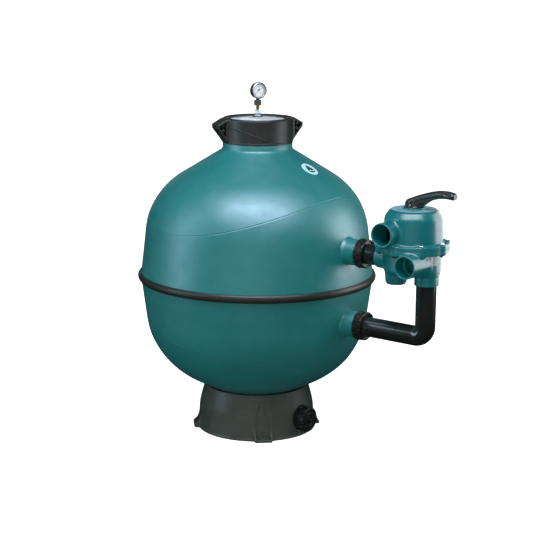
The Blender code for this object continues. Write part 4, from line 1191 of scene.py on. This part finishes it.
# Along the lever: how far out, then its middle height, half depth, half width and lean.
HANDLE_U, *HANDLE_SECTION = zip(
    (-0.03, -0.004, 0.012, 0.019, 0.93), (-0.015, 0.005, 0.013, 0.02, 0.93),
    (0.0, 0.0095, 0.015, 0.02, 0.93), (0.02, 0.0165, 0.016, 0.0175, 0.91),
    (0.04, 0.024, 0.015, 0.015, 0.92), (0.065, 0.033, 0.0135, 0.0135, 0.95),
    (0.09, 0.039, 0.0125, 0.0135, 0.99), (0.115, 0.0405, 0.0116, 0.0145, 1.0),
    (0.135, 0.0385, 0.0106, 0.0155, 0.97), (0.148, 0.035, 0.0092, 0.015, 0.93),
    (0.16, 0.032, 0.008, 0.012, 0.93),
)
HANDLE_WEB = [(0.0, -0.0095), (0.024, -0.0095), (0.042, 0.0035), (0.07, 0.027),
              (0.09, 0.043), (0.05, 0.038), (0.0, 0.01)]


def handle_shape(x, y, z):
    u, v, w = x - VALVE_X, y, z - PIN_Z
    hub_low = -0.0108
    radial = hypot(u, v)
    hub = rod(w, radial, hub_low, 0.0125, 0.0225, 0.003)
    foot = rod(w, radial, hub_low, -0.005, 0.0262, 0.0014)
    body = join(hub, foot, 0.006)
    spine, deep, wide, lean = (np.interp(u, HANDLE_U, column) for column in HANDLE_SECTION)
    profile = hypot(np.maximum(np.abs(v) - wide + deep * 0.9, 0), (w - spine) * lean) - deep * lean
    ends = np.maximum(-0.0225 - u, u - 0.145)
    lever = cut(profile, -ends, 0.0075)
    body = join(body, lever, 0.008)
    web = outline(u, w, HANDLE_WEB)
    body = join(body, plate(web, v, 0.004, 0.0015), 0.006)
    for side in (-1, 1):
        for spans in (((0.0015, 0.0095), (0.019, 0.04), (-0.008, 0.02)),
                      ((-0.015, -0.009), (0.016, 0.04), (-0.008, 0.02))):
            body = cut(body, block(u, side * v, w, spans, 0.0015), 0.0015)
        finger = (u - 0.124) ** 2 / 0.015 ** 2 + (side * v - 0.016) ** 2 / 0.005 ** 2
        finger = (np.sqrt(finger + (w - 0.044) ** 2 / 0.005 ** 2) - 1) * 0.005
        body = cut(body, finger, 0.002)
    body = cut(body, rod(w, radial, -0.03, 0.013, 0.0112, 0.0004), 0.0006)
    body = cut(body, hypot(u, w) - 0.004, 0.0006)
    return np.maximum(body, hub_low - w)


def make_valve():
    body = moulded("multiport_body", *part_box("valve_body"), 0.0014, valve_body_shape, VALVE)
    stands_for(body, "tank", "valve_teal", "valve_body")
    cover = moulded("multiport_cover", *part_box("valve_cover"), 0.0014, valve_cover_shape, VALVE)
    stands_for(cover, "tank", "valve_teal", "valve_cover")
    for index, (x, y, _) in enumerate(BOLTS):
        bolt = new_piece(f"hex_bolt_{index + 1}", *bolt_parts(x, y), STEEL)
        stands_for(bolt, "tank", "steel", f"cover_bolt_{index + 1}")
    at = (VALVE_X, 0, BELT_Z)
    card = [(0.07, 0.2833, 0.0003), (0.07, 0.2843, 0.0003), (0.0352, 0.2843, 0.0003)]
    card += [(0.0352, 0.2833)]
    obj = turned("position_disc", card, CARD, 128, at=at)
    stands_for(obj, "tank", "white_plastic", "position_plate")
    marks = []
    for sector in range(6):
        turn = Matrix.Translation(at) @ Matrix.Rotation(math.pi / 3 * sector, 4, "Z")
        ends = (0.04, -0.0006), (0.0645, -0.0006), (0.0645, 0.0006), (0.04, 0.0006)
        line = [Vector((out, across, 0.28433)) for out, across in ends]
        marks.append(strip(line, turn, 0.00012))
    stands_for(merged("position_marks", marks, INK, None), "tank", "black_plastic")
    washer = [(0.026, 0.2847, 0.0004), (0.026, 0.2857, 0.0003), (0.0095, 0.2857), (0.0095, 0.2833)]
    washer += [(0.025, 0.2833)]
    stands_for(turned("thrust_ring", washer, WHITE, 96, at=at), "selector", "white_plastic",
               "thrust_washer")
    at = (WASTE_X, 0, BELT_Z)
    plug = [(0, 0.044), (0.008, 0.044), (0.009, 0.045), (0.017, 0.045), (0.018, 0.044)]
    plug += [(0.03, 0.044, 0.001), (0.03, 0.0477, 0.0008), (0.0212, 0.0477)]
    plug += [(0.0212, 0.07, 0.001), (0.017, 0.07, 0.0008), (0.017, 0.05), (0, 0.05)]
    stands_for(turned("waste_cap", plug, BLACK, 96, at=at), "waste_plug", "black_plastic",
               "waste_plug")

    lever = moulded("selector_lever", *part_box("handle"), 0.001, handle_shape, HANDLE)
    stands_for(lever, "handle", "black_plastic", "handle")
    pin = [(0, -0.0225), (0.0026, -0.0225, 0.0004), (0.003, -0.0218), (0.003, 0.0218)]
    pin += [(0.0026, 0.0225, 0.0004), (0, 0.0225)]
    obj = turned("lever_pin", pin, STEEL, 32, "Y", (VALVE_X, 0, PIN_Z))
    stands_for(obj, "diverter", "steel", "handle_pin")
    for node in ("cover_gasket", "diverter_seal", "drain_seal"):
        repaint(node, RUBBER)
    repaint("diverter", WHITE)
    repaint("spring_washer", STEEL)
    make_spring()


def make_spring():
    """A round-wire coil on the stem, its end turns closed."""
    low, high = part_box("selector_spring")
    wire = 0.0018
    start, end = low[2] + wire, high[2] - wire
    verts, rings = [], []
    turns, per_turn, sides = 6, 28, 10
    count = turns * per_turn
    for index in range(count + 1):
        share = index / count
        rise = np.clip((share * turns - 0.75) / (turns - 1.5), 0, 1)
        angle = 2 * math.pi * index / per_turn
        outward = Vector((math.cos(angle), math.sin(angle), 0))
        centre = outward * 0.0165 + Vector((VALVE_X, 0, start + (end - start) * rise))
        add_ring(verts, rings, sides, lambda around: centre + outward * wire * math.cos(around)
                 + Vector((0, 0, wire * math.sin(around))))
    faces = ring_faces(rings, closed=False) + [rings[0][::-1], rings[-1]]
    spring = merged("return_spring", [(verts, faces)], STEEL)
    stands_for(spring, "selector", "steel", "selector_spring")
    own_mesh(spring)


# ---------------------------------------------------------------- badge on the tank

BADGE_ANGLE = math.radians(5.1)
BADGE_H = 0.365
BADGE_SIZE = 0.0295


def dome_skin(height):
    """The dome's radius, height and outward normal at a height above the belt."""
    at, lengths, points = shell_rows(DOME_OUTLINE)
    return at(np.interp(height, points[:, 1], lengths))


def badge_part(name, outline_points, low, high, finish):
    """A raised patch on the tank's dome: outline in (right, up) metres, low..high off its skin."""
    step = 0.0016
    bm = bmesh.new()
    corners = [bm.verts.new((x, y, 0)) for x, y in outline_points]
    bm.faces.new(corners)
    for normal, values in zip((Vector((1, 0, 0)), Vector((0, 1, 0))), zip(*outline_points)):
        spot = min(values) + step
        while spot < max(values):
            everything = bm.verts[:] + bm.edges[:] + bm.faces[:]
            bmesh.ops.bisect_plane(bm, geom=everything, dist=1e-7, plane_co=normal * spot,
                                   plane_no=normal)
            spot += step
    extruded = bmesh.ops.extrude_face_region(bm, geom=bm.faces[:])
    top = {vert for vert in extruded["geom"] if isinstance(vert, bmesh.types.BMVert)}
    bmesh.ops.recalc_face_normals(bm, faces=bm.faces)
    out = Vector((math.cos(BADGE_ANGLE), math.sin(BADGE_ANGLE), 0))
    right = Vector((-out.y, out.x, 0))
    centre_r, centre_h, (slope_r, slope_h) = dome_skin(BADGE_H)
    uphill = Vector((out.x * -slope_h, out.y * -slope_h, slope_r))
    for vert in bm.verts:
        x, y = vert.co.x, vert.co.y
        flat = out * centre_r + Vector((0, 0, centre_h)) + right * x + uphill * y
        radius, height, (normal_r, normal_h) = dome_skin(flat.z)
        sideways = hypot(flat.x, flat.y)
        lift = high if vert in top else low
        radius += normal_r * lift
        vert.co = (flat.x / sideways * radius, flat.y / sideways * radius,
                   BELT_Z + height + normal_h * lift)
    mesh = bpy.data.meshes.new(name)
    bm.to_mesh(mesh)
    bm.free()
    smooth(mesh)
    mesh.materials.append(finish)
    return linked(name, mesh)


def make_badge():
    size = BADGE_SIZE
    turns = [2 * math.pi * k / 72 for k in range(72)]
    disc = [(size * math.cos(t), size * math.sin(t)) for t in turns]
    field = badge_part("badge_field", disc, -0.0008, 0.0009, LABEL)
    drop = []
    for k in range(64):
        t = 2 * math.pi * k / 64
        wide = size * 0.66 * math.sin(t) * math.sin(t / 2) ** 1.3
        drop.append((wide, size * (0.7 * math.cos(t) + 0.08)))
    ink = badge_part("badge_drop", drop, 0.0002, 0.0012, LABEL_INK)
    wave = [(k / 12 - 1, 0.09 * math.sin(math.pi * k / 12) - 0.34) for k in range(25)]
    wave += [(x, y + 0.14) for x, y in wave[::-1]]
    wave = [(0.34 * size * x, size * y) for x, y in wave]
    glint = badge_part("badge_wave", wave, 0.0005, 0.0015, LABEL)
    for obj in (field, ink, glint):
        stands_for(obj, "tank", "tank_teal")


# ---------------------------------------------------------------- everything

make_tank()
make_belt()
make_base()
make_closure()
make_gauge()
make_inside()
make_unions()
make_valve()
make_badge()


# ---------------------------------------------------------------- studio

CAMERA_AZIMUTH = math.radians(38.19)
CAMERA_DISTANCE, CAMERA_HEIGHT = 4.7305, 1.553
CAMERA_PITCH, CAMERA_YAW, CAMERA_ROLL = 0.210176, 0.0066814, 0.0058376


def world_from_view(right, forward, up):
    """Turns a direction given from the camera's side to the frame's axes."""
    c, s = math.cos(CAMERA_AZIMUTH), math.sin(CAMERA_AZIMUTH)
    return Vector((right * c - forward * s, right * s + forward * c, up))


def make_camera():
    data = bpy.data.cameras.new("camera")
    data.lens, data.sensor_width = 98.33, 36.0
    data.clip_end = 500.0
    camera = linked("camera", data)
    level = math.cos(CAMERA_PITCH)
    ahead = world_from_view(math.sin(CAMERA_YAW) * level, math.cos(CAMERA_YAW) * level,
                            -math.sin(CAMERA_PITCH))
    right = world_from_view(math.cos(CAMERA_YAW), -math.sin(CAMERA_YAW), 0)
    up = right.cross(ahead)
    c, s = math.cos(CAMERA_ROLL), math.sin(CAMERA_ROLL)
    side, top = right * c + up * s, up * c - right * s
    matrix = Matrix((side, top, -ahead)).transposed().to_4x4()
    matrix.translation = world_from_view(0, -CAMERA_DISTANCE, CAMERA_HEIGHT)
    camera.matrix_world = matrix
    bpy.context.scene.camera = camera


def make_light(name, azimuth, elevation, distance, size, energy, colour, shines=True,
               about=(0.12, 0, 0.55)):
    """A soft panel, placed by angles from the camera's side: 0 is behind the camera."""
    a, e = math.radians(azimuth), math.radians(elevation)
    spot = world_from_view(math.sin(a) * math.cos(e), -math.cos(a) * math.cos(e), math.sin(e))
    data = bpy.data.lights.new(name, "AREA")
    data.shape = "RECTANGLE"
    data.size, data.size_y = size
    data.energy, data.color = energy, colour
    light = linked(name, data)
    light.location = Vector(about) + spot * distance
    light.rotation_euler = (-spot).to_track_quat("-Z", "Y").to_euler()
    light.visible_camera = False
    light.visible_glossy = shines


def make_floor():
    g = Graph("floor_finish")
    cloud = g.ramp(g.noise(0.6, 3.0), 0.3, 0.7)
    g.feed("Base Color", g.mix(cloud, (0.8, 0.8, 0.8), (0.84, 0.84, 0.84)))
    g.feed("Roughness", g.ramp(g.noise(3.0, 4.0), 0.3, 0.7, 0.75, 0.9))
    bump = g.node("Bump", {"Height": g.noise(40.0), "Strength": 0.1, "Distance": 0.0003})
    g.feed("Normal", bump.outputs[0])
    g.shader.inputs["Specular IOR Level"].default_value = 0.0
    g.shader.inputs["Emission Color"].default_value = (1.0, 1.0, 1.0, 1.0)
    g.shader.inputs["Emission Strength"].default_value = 1.0
    verts = [(-75, -75, 0), (75, -75, 0), (75, 75, 0), (-75, 75, 0)]
    floor = new_piece("studio_floor", verts, [[0, 1, 2, 3]], g.material, None)
    floor.visible_diffuse = False
    floor.visible_glossy = False


def make_world():
    world = bpy.data.worlds.new("studio")
    bpy.context.scene.world = world
    world.use_nodes = True
    background = world.node_tree.nodes["Background"]
    background.inputs["Color"].default_value = (0.94, 0.98, 1.0, 1.0)
    background.inputs["Strength"].default_value = 0.38
    world.cycles_visibility.glossy = False


make_camera()
make_floor()
make_world()
make_light("key_panel", -3, 62, 2.7, (2.8, 1.3), 92, (0.8, 0.86, 1.0))
make_light("left_strip", -78, 14, 3.0, (0.9, 2.6), 26, (0.66, 0.86, 1.0))
make_light("front_fill", -10, 0, 4.0, (3.6, 2.4), 94, (0.94, 0.98, 0.95), shines=False)
make_light("right_strip", 94, 14, 2.8, (1.1, 2.6), 12, (0.84, 0.94, 1.0))
make_light("valve_panel", 114, 4, 0.4, (0.56, 0.5), 2.3, (0.97, 0.98, 1.0),
           about=(VALVE_X, 0, BELT_Z + 0.2))
make_light("backdrop", 180, 8, 4.0, (4.2, 1.8), 8, (1.0, 1.0, 1.0))

bpy.context.scene.view_settings.view_transform = "Standard"

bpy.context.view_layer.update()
